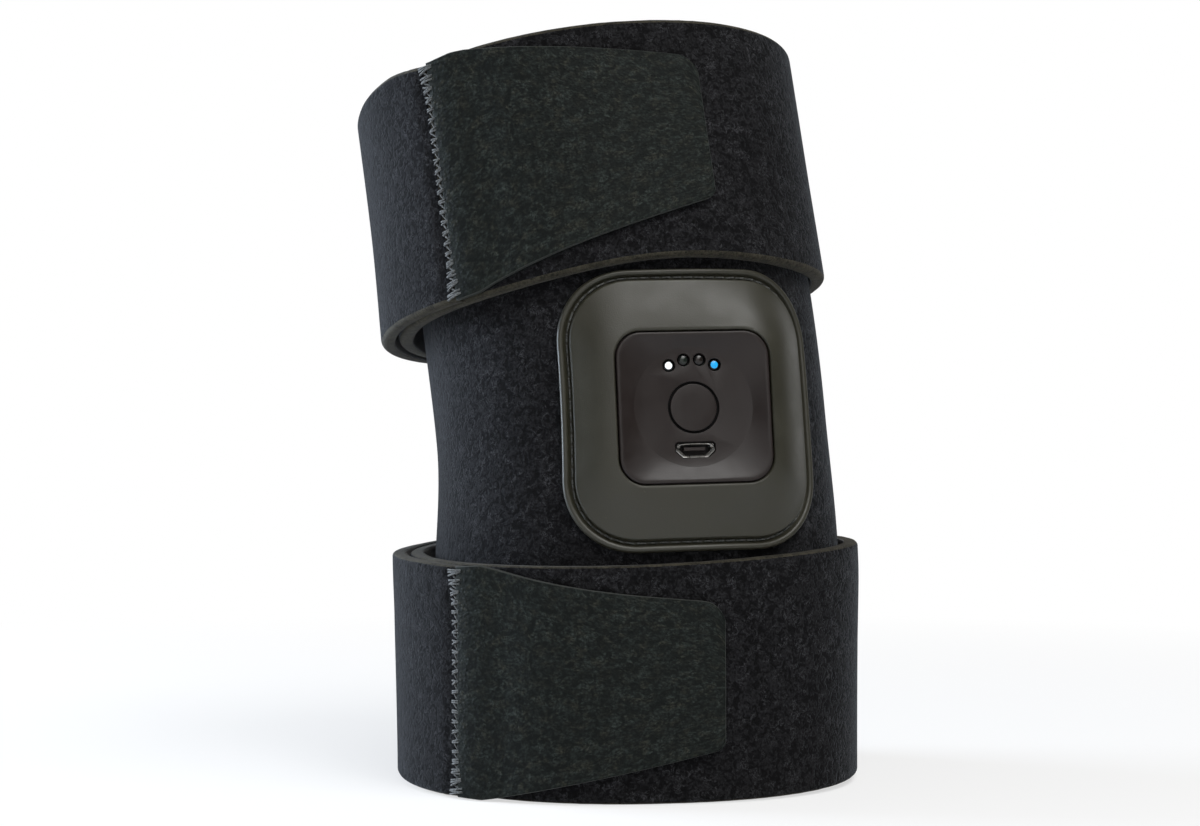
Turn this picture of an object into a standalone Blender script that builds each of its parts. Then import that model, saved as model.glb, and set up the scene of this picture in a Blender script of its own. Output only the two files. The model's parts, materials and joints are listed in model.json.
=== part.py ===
"""Vibrating thigh wrap, wound as it is worn, with the leg left out.

A velour-faced neoprene panel wraps the thigh once. Two straps run on from its right
end, wind over it and end in thin hook tabs that grip the velour. A silicone bezel on
the front holds a small controller, and a silicone band behind the panel carries two
vibration capsules.

Metres, +Z up. The wearer's front is at -Y and +X is at the right of someone who faces
it. Angles round the leg start at the front and grow towards +X.
"""
import math

import bmesh
import bpy
import numpy as np
from mathutils import Matrix, Vector

# The leg that the wrap is wound on: a rounded section that follows a bent spine.
HALF_WIDTH_FOOT = 0.0496
WIDTH_TAPER = 0.0016
HALF_WIDTH_TOP = HALF_WIDTH_FOOT - WIDTH_TAPER
HALF_DEPTH_FOOT = 0.0466
DEPTH_TAPER = 0.0004
HALF_DEPTH_TOP = HALF_DEPTH_FOOT - DEPTH_TAPER
SECTION_EXPONENT = 2.4
BEND_LOW = 0.048
BEND_HIGH = 0.113
LEAN_ANGLE = 12.3
LEAN_HEADING = 30.5
FOOT_SIDE = 0.00687
FOOT_BACK = -0.00830
BEND_RADIUS = (BEND_HIGH - BEND_LOW) / math.radians(LEAN_ANGLE)
FRONT_STRETCH_SHARE = 1 + HALF_DEPTH_TOP * math.cos(math.radians(LEAN_HEADING)) / BEND_RADIUS

# Clearances that every neighbour shares.
CLEARANCE = 0.0003
CLOTH_GAP = 0.0004

# The silicone bezel, sewn to the panel through its groove.
BEZEL_WIDTH = 0.0622
BEZEL_TALL = 0.0644
BEZEL_CORNER = 0.0175
BEZEL_SHIFT = 0.0009
BEAD_WIDTH = 0.0017
BEAD_HEIGHT = 0.0021
BEAD_PROFILE_SHARES = ((0, 0.55), (0.2, 0.88), (0.5, 1), (0.85, 0.85))
GROOVE_WIDTH = 0.0012
GROOVE_HEIGHT = 0.0010
PAD_EDGE_HEIGHT = 0.0023
PAD_LIP_SHARES = (0.02, 0.86)
PAD_CROWN_SHARES = ((0.06, 0.03), (0.30, 0.34), (0.60, 0.70), (0.88, 0.95))
CORNER_STEPS = 7
SIDE_STEPS = 5

# The lower strap stands below the bezel, the controller in its middle and the upper
# strap above it, each a named gap away as measured along the spine.
LOWER_STRAP_WIDTH = 0.0555
BEZEL_GAP_BELOW = 0.0017
BEZEL_GAP_ABOVE = 0.0017
BEZEL_HALF_RUN = BEZEL_TALL / 2 / FRONT_STRETCH_SHARE
MODULE_HEIGHT = LOWER_STRAP_WIDTH + BEZEL_GAP_BELOW + BEZEL_HALF_RUN
MODULE_SIDE_SHIFT = 0.0055
MODULE_TWIST = -2.3
UPPER_STRAP_LOW = MODULE_HEIGHT + BEZEL_HALF_RUN + BEZEL_GAP_ABOVE
UPPER_STRAP_WIDTH = 0.0568

# The middle panel, which stops a little inside the straps' free edges.
PANEL_THICKNESS = 0.0035
PANEL_LOW = 0.0030
PANEL_TOP_INSET = 0.0046
PANEL_HIGH = UPPER_STRAP_LOW + UPPER_STRAP_WIDTH - PANEL_TOP_INSET
PANEL_END = 165.0
PANEL_COLUMNS = 60
PANEL_ROWS = 10

# The two straps, which run on from the panel's right end.
STRAP_THICKNESS = 0.0035
STRAP_COLUMNS = 90
STRAP_ROWS = 3
LAP_RISE_SHARE = 0.8
LOWER_STRAP_END = 664.2
LOWER_LEFT_GAP = 0.0019
LOWER_FRONT_GAP = 0.0012
LOWER_RIGHT_GAP = 0.0009
LOWER_LAYER_GAP = 0.0011
LOWER_FLARE = 0.0017
LOWER_BACK_RISE = 0.0028
LOWER_SIDE_RISE = 0.0008
LOWER_SIDE_HEADING = 80.0
UPPER_STRAP_END = 669.3
UPPER_LEFT_GAP = 0.0019
UPPER_FRONT_GAP = 0.0008
UPPER_RIGHT_GAP = 0.0005
UPPER_LAYER_GAP = 0.0011
UPPER_FLARE = 0.0010
UPPER_FRONT_RISE = 0.0022
UPPER_SIDE_RISE = 0.0012
UPPER_SIDE_HEADING = -60.0
RISE_FOCUS = 8
SIDE_FOCUS = 3
FLARE_SPREAD = 70.0
END_LAYER_GAP = 0.0006

# The hook tabs at the straps' ends.
TAB_THICKNESS = 0.0015
TAB_LENGTH = 0.0640
TAB_TIP_WIDTH = 0.0345
LOWER_TIP_DROP_SHARE = 0.45
UPPER_TIP_DROP_SHARE = 0.42
TAB_SQUARE_RUN = 0.0060
TAB_CORNER = 0.0036
TAB_SETTLE = 0.0130
TAB_COLUMNS = 20
TAB_CROWDING = 1.7
TAB_ROWS = 4

# The controller's two shells.
MODULE_WIDTH = 0.0363
MODULE_TALL = 0.0352
MODULE_CORNER = 0.0060
MODULE_RISE = 0.0036
MODULE_DEPTH = 0.0080
COVER_WALL = 0.0013
DISH_DEPTH = 0.0016
DISH_RADIUS = 0.0141
DISH_UP = 0.0002
DISH_PROFILE_SHARES = ((0.12, 0.10), (0.50, 0.49), (0.90, 0.91))
UNDER_PROFILE_SHARES = ((0.7, 0.3), (0.3, 0.85))
RIM_LAND = 0.0006
RIM_ROUND = 0.0002
FLANGE_REACH = 0.0028
FLANGE_THICKNESS = 0.0012
CUTOUT_GAP = 0.0008
TUB_FLOOR = 0.0012
TUB_ROUND = 0.0008

# The button and its switch.
BUTTON_RADIUS = 0.0053
BUTTON_GAP = 0.00042
BUTTON_LIP = 0.0011
BUTTON_LIP_THICKNESS = 0.0006
BUTTON_ROUND = 0.0002
BUTTON_TRAVEL = 0.0004
PLUNGER_RADIUS = 0.0010
SWITCH_SIDE = 0.0060
SWITCH_THICKNESS = 0.0010
SWITCH_ROUND = 0.0005

# The row of indicator lights above the button.
LIGHT_ARC_RADIUS = 0.0113
LIGHT_PITCH = 19.2
LIGHT_RADIUS = 0.00095
LIGHT_COUNT = 4
CHIP_WIDTH = 0.0016
CHIP_TALL = 0.0008
CHIP_THICKNESS = 0.0008

# The charging socket below the button.
SOCKET_DROP = 0.0099
SOCKET_WIDTH = 0.0090
SOCKET_TALL = 0.0033
SOCKET_CHAMFER = 0.0017
SOCKET_NICK = 0.0004
SOCKET_WALL = 0.00035
SOCKET_RECESS = 0.0003
TONGUE_WIDTH = 0.0050
TONGUE_TALL = 0.0007
TONGUE_RECESS = 0.0008

# The circuit board, its processor and the cell behind it.
BOARD_THICKNESS = 0.0008
BOARD_FRONT = 0.0026
BOARD_EDGE_GAP = 0.0014
BOARD_CHAMFER = 0.0080
PROCESSOR_SIDE = 0.0050
PROCESSOR_THICKNESS = 0.0010
PROCESSOR_INSET = 0.00445
CELL_POST_GAP = 0.00075
CELL_END_GAP = 0.0032
CELL_ROUND = 0.0008

# Heights of the controller's pieces above the panel's outer face.
MODULE_BASE = 0.0005
FLANGE_TOP = MODULE_BASE + FLANGE_THICKNESS
DISH_FLOOR = MODULE_RISE - DISH_DEPTH
DISH_UNDER = DISH_FLOOR - COVER_WALL
BOARD_TOP = -BOARD_FRONT
BOARD_BACK = BOARD_TOP - BOARD_THICKNESS
TUB_BACK = -MODULE_DEPTH
TUB_INSIDE = TUB_BACK + TUB_FLOOR

# The screws that close the controller from the back.
SCREW_INSET = 0.0049
SCREW_SHANK_RADIUS = 0.0007
SCREW_HEAD_RADIUS = 0.0015
SCREW_HEAD_THICKNESS = 0.0011
SCREW_BITE = 0.0035
BOSS_RADIUS = 0.0019
BOSS_SPLIT = 0.0046
SEAT_RADIUS = 0.0025
CELL_WIDTH = MODULE_WIDTH - 2 * (SCREW_INSET + SEAT_RADIUS + CELL_POST_GAP)
CELL_TALL = MODULE_TALL - 2 * (COVER_WALL + CELL_END_GAP)

# The silicone band, its leads and its two vibration capsules.
BAND_THICKNESS = 0.0015
BAND_EDGE_MARGIN = 0.0036
BAND_TALL = MODULE_TALL + 2 * (CUTOUT_GAP + BAND_EDGE_MARGIN)
BAND_COLUMNS = 32
BAND_ROWS = 4
LEAD_THICKNESS = 0.0008
LEAD_WIDTH = 0.0040
LEAD_COLUMNS = 5
LEAD_RUN = 0.01535
CAPSULE_RADIUS = 0.0130
CAPSULE_OFFSET = MODULE_WIDTH / 2 + LEAD_RUN + CAPSULE_RADIUS
BAND_END_MARGIN = 0.0045
BAND_REACH = CAPSULE_OFFSET + CAPSULE_RADIUS + BAND_END_MARGIN
CAPSULE_THICKNESS = 0.0065
CAPSULE_WALL = 0.0011
CAPSULE_LID = 0.0014
CAPSULE_ROUND = 0.0008
MOTOR_RADIUS = 0.0090
MOTOR_WALL = 0.0004
SHAFT_RADIUS = 0.0005
WEIGHT_RADIUS = 0.0078
HUB_RADIUS = 0.0022
WEIGHT_THICKNESS = 0.0017

# The lining that covers the band on the leg's side.
LINING_THICKNESS = 0.0012
LINING_HEM = 0.0070
LINING_TALL = BAND_TALL + 2 * LINING_HEM
LINING_OVERLAP = 0.0090
LINING_REACH = BAND_REACH + LINING_OVERLAP
LINING_FALL = 0.0070
LINING_MARGIN = 0.0016
LINING_COLUMNS = 38
LINING_ROWS = 12

# Cutters run past what they cut by this much.
OVERRUN = 0.0020
WELD = 0.00002
BISECTIONS = 30
ARC_STEPS = 481
ROUND_STEPS = 28
SMALL_STEPS = 14
TURN = 360.0

FABRIC = (0.016, 0.017, 0.022)
HOOK = (0.021, 0.027, 0.026)
LINING = (0.030, 0.030, 0.034)
SILICONE = (0.062, 0.062, 0.053)
SHELL = (0.040, 0.034, 0.033)
DARK = (0.012, 0.012, 0.013)
STEEL = (0.55, 0.55, 0.56)
BOARD = (0.010, 0.060, 0.030)
WHITE = (0.85, 0.87, 0.90)
BLUE = (0.01, 0.38, 0.74)


def smooth(value):
    """Ease a share from 0 to 1, flat at both ends."""
    held = min(max(value, 0), 1)
    return held * held * (3 - 2 * held)


def blend(start, end, share):
    """The value that lies a share of the way from start to end."""
    return start + (end - start) * share


def spine(height):
    """The leg's frame at a length along its spine: origin, right, back and up."""
    lean = math.radians(LEAN_ANGLE)
    heading = math.radians(LEAN_HEADING)
    way = Vector((-math.sin(heading), math.cos(heading), 0))
    run = BEND_HIGH - BEND_LOW
    turned = lean * min(max((height - BEND_LOW) / run, 0), 1)
    straight = max(height - BEND_HIGH, 0)
    aside = BEND_RADIUS * (1 - math.cos(turned)) + straight * math.sin(turned)
    rise = min(height, BEND_LOW) + BEND_RADIUS * math.sin(turned)
    rise += straight * math.cos(turned)
    foot = Vector((FOOT_SIDE, FOOT_BACK, 0))
    origin = foot + way * aside + Vector((0, 0, rise))
    hinge = Vector((0, 0, 1)).cross(way)
    turn = Matrix.Rotation(turned, 3, hinge)
    right = turn @ Vector((1, 0, 0))
    back = turn @ Vector((0, 1, 0))
    return origin, right, back, turn @ Vector((0, 0, 1))


def half_sizes(height):
    """Half width and half depth of the panel's outer face at a height."""
    share = smooth((height - BEND_LOW) / (MODULE_HEIGHT - BEND_LOW))
    wide = blend(HALF_WIDTH_FOOT, HALF_WIDTH_TOP, share)
    return wide, blend(HALF_DEPTH_FOOT, HALF_DEPTH_TOP, share)


def section(angle, height, stand_off):
    """A point of the leg's section and its outward direction, in the section."""
    wide, deep = half_sizes(height)
    turned = math.radians(angle)
    side = math.sin(turned)
    back = -math.cos(turned)
    power = SECTION_EXPONENT
    reach = (abs(side / wide) ** power + abs(back / deep) ** power) ** (-1 / power)
    point = Vector((reach * side, reach * back))
    slope_side = math.copysign(abs(point.x / wide) ** (power - 1) / wide, side)
    slope_back = math.copysign(abs(point.y / deep) ** (power - 1) / deep, back)
    outward = Vector((slope_side, slope_back)).normalized()
    return point + outward * stand_off, outward


def surface(angle, height, stand_off):
    """A point at a stand-off from the panel's outer face."""
    origin, right, back, up = spine(height)
    place, outward = section(angle, height, stand_off)
    return origin + right * place.x + back * place.y


def arc_tables():
    """Angles over the front half, and the length along the panel's outer face."""
    angles = np.linspace(-TURN / 3, TURN / 3, ARC_STEPS)
    points = [section(angle, MODULE_HEIGHT, 0)[0] for angle in angles]
    steps = [(after - before).length for before, after in zip(points, points[1:])]
    lengths = np.concatenate(([0], np.cumsum(steps)))
    middle = math.degrees(math.asin(MODULE_SIDE_SHIFT / HALF_DEPTH_TOP))
    return angles, lengths - np.interp(middle, angles, lengths)


ARC_ANGLES, ARC_LENGTHS = arc_tables()


def angle_at(arc):
    """The angle round the leg at a length along the panel from the module's middle."""
    return float(np.interp(arc, ARC_LENGTHS, ARC_ANGLES))


def rest_on_leg(arc, rise, stand_off):
    """A point at a length along and up the panel from the module's middle."""
    angle = angle_at(arc)
    low = surface(angle, MODULE_HEIGHT - MODULE_RISE, 0)
    high = surface(angle, MODULE_HEIGHT + MODULE_RISE, 0)
    stretch = (high - low).length / (2 * MODULE_RISE)
    return surface(angle, MODULE_HEIGHT + rise / stretch, stand_off)


def module_matrix():
    """The controller's frame: right, up and outward from the panel's outer face."""
    origin, right, back, up = spine(MODULE_HEIGHT)
    base = surface(angle_at(0), MODULE_HEIGHT, 0)
    turn = Matrix.Rotation(math.radians(MODULE_TWIST), 3, -back)
    axes = Matrix((turn @ right, turn @ up, -back)).transposed()
    return Matrix.Translation(base) @ axes.to_4x4()


def twisted(place):
    """Turn a place on the controller's face into lengths along and up the panel."""
    turned = math.radians(MODULE_TWIST)
    along = place.x * math.cos(turned) - place.y * math.sin(turned)
    return along, place.x * math.sin(turned) + place.y * math.cos(turned)


def arc_at_distance(frame, distance, near, far, depth):
    """The arc between near and far whose point lies at a distance beside a frame."""
    into = frame.inverted()
    for _ in range(BISECTIONS):
        middle = (near + far) / 2
        if abs((into @ rest_on_leg(middle, 0, -depth)).x) < distance:
            near = middle
        else:
            far = middle
    return (near + far) / 2


def capsule_matrix(side):
    """The frame of a capsule: tangent, up and outward, at its lid's outer face."""
    arc = side * CAPSULE_OFFSET
    angle = angle_at(arc)
    origin, right, back, up = spine(MODULE_HEIGHT)
    outward_2d = section(angle, MODULE_HEIGHT, 0)[1]
    outward = (right * outward_2d.x + back * outward_2d.y).normalized()
    seat = PANEL_THICKNESS + CLEARANCE + BAND_THICKNESS
    base = surface(angle, MODULE_HEIGHT, -seat)
    drops = []
    for reach in np.linspace(0, 2 * CAPSULE_RADIUS, 4 * SMALL_STEPS):
        for place in round_outline(Vector((0, 0)), reach, SMALL_STEPS):
            inward = base - rest_on_leg(arc + place.x, place.y, -seat)
            drop = inward.dot(outward)
            if (inward - outward * drop).length <= CAPSULE_RADIUS:
                drops.append(drop)
    place = base - outward * (max(drops) + CLEARANCE)
    axes = Matrix((up.cross(outward), up, outward)).transposed()
    return Matrix.Translation(place) @ axes.to_4x4()


def material(name, colour, roughness, metallic):
    """A plain material in the part's colour."""
    made = bpy.data.materials.new(name)
    made.use_nodes = True
    shader = made.node_tree.nodes["Principled BSDF"]
    shader.inputs["Base Color"].default_value = (*colour, 1)
    shader.inputs["Roughness"].default_value = roughness
    shader.inputs["Metallic"].default_value = metallic
    made.diffuse_color = (*colour, 1)
    return made


class Builder:
    """Keeps the collections and the finish that each new object takes."""

    def __init__(self):
        scene = bpy.context.scene.collection
        self.parts = bpy.data.collections.new("vibrating_thigh_wrap")
        self.cutters = bpy.data.collections.new("cutters")
        scene.children.link(self.parts)
        scene.children.link(self.cutters)
        self.module = bpy.data.objects.new("module_frame", None)
        self.module.matrix_world = module_matrix()
        self.parts.objects.link(self.module)

    def place(self, name, data, finish, frame):
        """Put a mesh or curve in the scene under its name, material and frame."""
        item = bpy.data.objects.new(name, data)
        self.parts.objects.link(item)
        if finish:
            colour, roughness, metallic = finish
            data.materials.append(material(name, colour, roughness, metallic))
        if isinstance(frame, bpy.types.Object):
            item.parent = frame
        elif frame is not None:
            item.matrix_world = frame
        return item

    def cutter(self, item):
        """Move an object out of the parts and mark it as a cutter."""
        self.parts.objects.unlink(item)
        self.cutters.objects.link(item)
        item.hide_render = True
        item.display_type = "WIRE"
        return item

    def join(self, target, tool, operation):
        """Cut a tool out of the target, or add it, and keep the tool as a cutter."""
        self.cutter(tool)
        change = target.modifiers.new(operation.lower(), "BOOLEAN")
        change.operation = operation
        change.solver = "EXACT"
        change.object = tool
        return target


def sheet_mesh(name, columns, rows, point_at):
    """A grid whose points follow a formula of two shares, facing outward."""
    shape = bmesh.new()
    bmesh.ops.create_grid(shape, x_segments=columns, y_segments=rows, size=1)
    for vert in shape.verts:
        vert.co = point_at((vert.co.x + 1) / 2, (vert.co.y + 1) / 2)
    mesh = bpy.data.meshes.new(name)
    shape.to_mesh(mesh)
    shape.free()
    mesh.shade_smooth()
    return mesh


def thicken(item, thickness):
    """Give an open sheet its thickness, outward from its inner face."""
    wall = item.modifiers.new("wall", "SOLIDIFY")
    wall.thickness = thickness
    wall.offset = 1
    wall.use_even_offset = True
    return item


def loft_mesh(name, rings, capped):
    """Faces between rings of equal counts; capped, or closed into a tube's ring."""
    shape = bmesh.new()
    loops = [[shape.verts.new(point) for point in ring] for ring in rings]
    pairs = list(zip(loops, loops[1:]))
    if not capped:
        pairs.append((loops[-1], loops[0]))
    for first, second in pairs:
        count = len(first)
        for index in range(count):
            after = (index + 1) % count
            corners = (first[index], first[after], second[after], second[index])
            shape.faces.new(corners)
    if capped:
        shape.faces.new(reversed(loops[0]))
        shape.faces.new(loops[-1])
    bmesh.ops.recalc_face_normals(shape, faces=shape.faces)
    mesh = bpy.data.meshes.new(name)
    shape.to_mesh(mesh)
    shape.free()
    mesh.shade_smooth()
    mesh.set_sharp_from_angle(angle=math.radians(32))
    return mesh


def rounded_outline(wide, tall, corner):
    """Points round a rectangle with round corners, always the same count."""
    points = []
    half_wide = wide / 2 - corner
    half_tall = tall / 2 - corner
    centres = ((1, -1), (1, 1), (-1, 1), (-1, -1))
    for quarter, (side, up) in enumerate(centres):
        centre = Vector((side * half_wide, up * half_tall))
        start = math.radians(90) * (quarter - 1)
        arc = []
        for step in range(CORNER_STEPS + 1):
            turned = start + math.radians(90) * step / CORNER_STEPS
            arc.append(centre + Vector((math.cos(turned), math.sin(turned))) * corner)
        points.extend(arc)
        ahead_side, ahead_up = centres[(quarter + 1) % len(centres)]
        ahead = Vector((ahead_side * half_wide, ahead_up * half_tall))
        turned = start + math.radians(90)
        ahead += Vector((math.cos(turned), math.sin(turned))) * corner
        for step in range(1, SIDE_STEPS):
            points.append(arc[-1].lerp(ahead, step / SIDE_STEPS))
    return points


def circle_like(outline, centre, radius):
    """Points on a circle in the directions of an outline's points."""
    return [centre + point.normalized() * radius for point in outline]


def raised(outline, height):
    """Lift an outline to a height in three dimensions."""
    return [Vector((point.x, point.y, height)) for point in outline]


def lerp_outline(first, second, share):
    """The outline a share of the way between two of equal counts."""
    return [start.lerp(end, share) for start, end in zip(first, second)]


def turned_object(builder, name, profile, finish, frame, steps):
    """Turn a profile of radius and height, read down its outer side, about Z."""
    mesh = bpy.data.meshes.new(name)
    edges = [(index, index + 1) for index in range(len(profile) - 1)]
    mesh.from_pydata([(radius, 0, height) for radius, height in profile], edges, [])
    item = builder.place(name, mesh, finish, frame)
    screw = item.modifiers.new("turn", "SCREW")
    screw.axis = "Z"
    screw.steps = steps
    screw.render_steps = steps
    screw.use_merge_vertices = True
    screw.merge_threshold = WELD
    screw.use_smooth_shade = True
    return item


def cylinder(builder, name, radius, top, bottom, centre, finish, frame, steps):
    """A round bar along Z between two heights, centred on a place."""
    shape = bmesh.new()
    bmesh.ops.create_cone(
        shape, cap_ends=True, segments=steps, radius1=radius, radius2=radius,
        depth=top - bottom,
    )
    middle = Vector((centre[0], centre[1], (top + bottom) / 2))
    bmesh.ops.translate(shape, verts=shape.verts, vec=middle)
    mesh = bpy.data.meshes.new(name)
    shape.to_mesh(mesh)
    shape.free()
    mesh.shade_smooth()
    mesh.set_sharp_from_angle(angle=math.radians(32))
    return builder.place(name, mesh, finish, frame)


def box(builder, name, wide, tall, top, bottom, centre, finish, frame):
    """A block along Z between two heights, centred on a place."""
    shape = bmesh.new()
    bmesh.ops.create_cube(shape, size=1)
    bmesh.ops.scale(shape, verts=shape.verts, vec=(wide, tall, top - bottom))
    middle = Vector((centre[0], centre[1], (top + bottom) / 2))
    bmesh.ops.translate(shape, verts=shape.verts, vec=middle)
    mesh = bpy.data.meshes.new(name)
    shape.to_mesh(mesh)
    shape.free()
    return builder.place(name, mesh, finish, frame)


def plate(builder, name, outlines, top, bottom, finish, frame):
    """A flat plate from an outline, with any further outlines as its holes."""
    curve = bpy.data.curves.new(name, "CURVE")
    curve.dimensions = "2D"
    curve.fill_mode = "BOTH"
    curve.extrude = (top - bottom) / 2
    for outline in outlines:
        line = curve.splines.new("POLY")
        line.points.add(len(outline) - 1)
        for point, place in zip(line.points, outline):
            point.co = (place.x, place.y, 0, 1)
        line.use_cyclic_u = True
    lift = Matrix.Translation((0, 0, (top + bottom) / 2))
    item = builder.place(name, curve, finish, frame)
    if isinstance(frame, bpy.types.Object):
        item.matrix_local = lift
    else:
        item.matrix_world = frame @ lift
    return item


def round_outline(centre, radius, steps):
    """Points round a circle."""
    points = []
    for step in range(steps):
        turned = math.radians(TURN) * step / steps
        points.append(centre + Vector((math.cos(turned), math.sin(turned))) * radius)
    return points


class Strap:
    """One strap: its place on the spine, its laps and its stand-offs."""

    def __init__(
        self, name, low, width, end, gaps, flare, flare_up, rises, heading, tip_drop
    ):
        self.name = name
        self.low = low
        self.width = width
        self.end = end
        self.left_gap, self.front_gap, self.right_gap, self.layer_gap = gaps
        self.flare = flare
        self.flare_up = flare_up
        self.back_rise, self.front_rise, self.side_rise = rises
        self.heading = heading
        self.tip_drop = tip_drop
        self.tab_angles = np.linspace(end, end + TURN / 3, 2 * STRAP_COLUMNS)
        rests = [self.tab_stand_off(angle, TAB_LENGTH, 0) for angle in self.tab_angles]
        points = [
            section(angle, self.height(0, angle), rest)[0]
            for angle, rest in zip(self.tab_angles, rests)]
        steps = [(after - before).length for before, after in zip(points, points[1:])]
        self.tab_lengths = np.concatenate(([0], np.cumsum(steps)))

    def start(self):
        """The angle at which the strap butts against the panel's end."""
        return PANEL_END + math.degrees(CLEARANCE / HALF_DEPTH_FOOT)

    def first_lap(self, angle):
        """Stand-off of the inner face where the strap lies on the panel."""
        rise = (TURN - 2 * PANEL_END) * LAP_RISE_SHARE
        keys = (
            (self.start(), -PANEL_THICKNESS),
            (PANEL_END + rise, CLOTH_GAP),
            (TURN * 3 / 4, self.left_gap),
            (TURN, self.front_gap),
            (TURN * 5 / 4, self.right_gap),
            (PANEL_END + TURN, CLOTH_GAP),
        )
        for (before, low), (after, high) in zip(keys, keys[1:]):
            if angle <= after:
                return blend(low, high, smooth((angle - before) / (after - before)))
        return keys[-1][1]

    def flared(self, angle, share):
        """How far the free edge at the left stands out."""
        away = abs((angle - TURN * 3 / 4 + TURN / 2) % TURN - TURN / 2)
        up = share if self.flare_up else 1 - share
        return self.flare * smooth(1 - away / FLARE_SPREAD) * up * up

    def stand_off(self, angle, share):
        """Stand-off of the strap's inner face at an angle and a share of its width."""
        second = PANEL_END + TURN
        if angle <= second:
            return self.first_lap(angle) + self.flared(angle, share)
        under = self.first_lap(angle - TURN) + self.flared(angle, share)
        left = TURN * 7 / 4
        if angle < left:
            gap = blend(
                CLOTH_GAP, self.layer_gap, smooth((angle - second) / (left - second)))
        else:
            settled = smooth((angle - left) / (self.end - left))
            gap = blend(self.layer_gap, END_LAYER_GAP, settled)
        return under + STRAP_THICKNESS + gap

    def tab_stand_off(self, angle, along, share):
        """Stand-off of the tab's inner face: flush at the seam, then on the strap."""
        flush = self.stand_off(self.end, share) + STRAP_THICKNESS - TAB_THICKNESS
        lap = self.first_lap(angle - TURN) + self.flared(angle, share)
        rest = lap + STRAP_THICKNESS + CLOTH_GAP
        return blend(max(flush, rest), rest, smooth(along / TAB_SETTLE))

    def height(self, share, angle):
        """Length along the spine at a share of the strap's width and an angle."""
        behind = (1 - math.cos(math.radians(angle))) / 2
        beside = (1 + math.cos(math.radians(angle - self.heading))) / 2
        rise = self.back_rise * behind ** 2 + self.front_rise * (1 - behind) ** RISE_FOCUS
        rise += self.side_rise * beside ** SIDE_FOCUS
        return self.low + (self.width + rise) * share

    def point(self, along_share, width_share):
        """A point of the strap's inner face."""
        angle = blend(self.start(), self.end, along_share)
        height = self.height(width_share, angle)
        return surface(angle, height, self.stand_off(angle, width_share))

    def tab_angle(self, along):
        """The angle that a length along the tab reaches."""
        reach = along + CLEARANCE
        if reach < 0:
            return self.end + math.degrees(reach / HALF_DEPTH_TOP)
        return float(np.interp(reach, self.tab_lengths, self.tab_angles))

    def tab_point(self, along_share, width_share):
        """A point of the tab's inner face, inside its tapered round-cornered outline."""
        along = TAB_LENGTH * (1 - (1 - along_share) ** TAB_CROWDING)
        angle = self.tab_angle(along)
        taper = max(along - TAB_SQUARE_RUN, 0) / (TAB_LENGTH - TAB_SQUARE_RUN)
        loss = (self.width - TAB_TIP_WIDTH) * taper
        past = max(along - (TAB_LENGTH - TAB_CORNER), 0)
        corner = TAB_CORNER - math.sqrt(max(TAB_CORNER ** 2 - past ** 2, 0))
        seam_top = self.height(1, self.end) - self.low
        top = blend(seam_top, self.width, taper) - loss * self.tip_drop - corner
        bottom = loss * (1 - self.tip_drop) + corner
        share = blend(bottom, top, width_share) / self.width
        height = self.low + self.width * share
        return surface(angle, height, self.tab_stand_off(angle, along, share))

    def hinge(self):
        """A point on the seam's axis at the tab's outer face, and the axis, downward."""
        angle = self.tab_angle(-CLEARANCE / 2)
        ends = []
        for share in (0, 1):
            off = self.stand_off(self.end, share) + STRAP_THICKNESS
            ends.append(surface(angle, self.height(share, self.end), off))
        return (ends[0] + ends[1]) / 2, (ends[0] - ends[1]).normalized()


def straps():
    """The two straps of the wrap."""
    lower_gaps = (LOWER_LEFT_GAP, LOWER_FRONT_GAP, LOWER_RIGHT_GAP, LOWER_LAYER_GAP)
    upper_gaps = (UPPER_LEFT_GAP, UPPER_FRONT_GAP, UPPER_RIGHT_GAP, UPPER_LAYER_GAP)
    lower = Strap(
        "lower", 0, LOWER_STRAP_WIDTH, LOWER_STRAP_END, lower_gaps, LOWER_FLARE, True,
        (LOWER_BACK_RISE, 0, LOWER_SIDE_RISE), LOWER_SIDE_HEADING, LOWER_TIP_DROP_SHARE)
    upper = Strap(
        "upper", UPPER_STRAP_LOW, UPPER_STRAP_WIDTH, UPPER_STRAP_END, upper_gaps,
        UPPER_FLARE, False, (0, UPPER_FRONT_RISE, UPPER_SIDE_RISE), UPPER_SIDE_HEADING,
        UPPER_TIP_DROP_SHARE)
    return lower, upper


def module_cutter(builder, name):
    """The rounded block that opens the panel and the band for the controller."""
    wide = MODULE_WIDTH + 2 * CUTOUT_GAP
    tall = MODULE_TALL + 2 * CUTOUT_GAP
    outline = rounded_outline(wide, tall, MODULE_CORNER + CUTOUT_GAP)
    top = MODULE_RISE + OVERRUN
    bottom = -MODULE_DEPTH - OVERRUN
    mesh = loft_mesh(name, [raised(outline, bottom), raised(outline, top)], True)
    return builder.place(name, mesh, None, builder.module)


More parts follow.
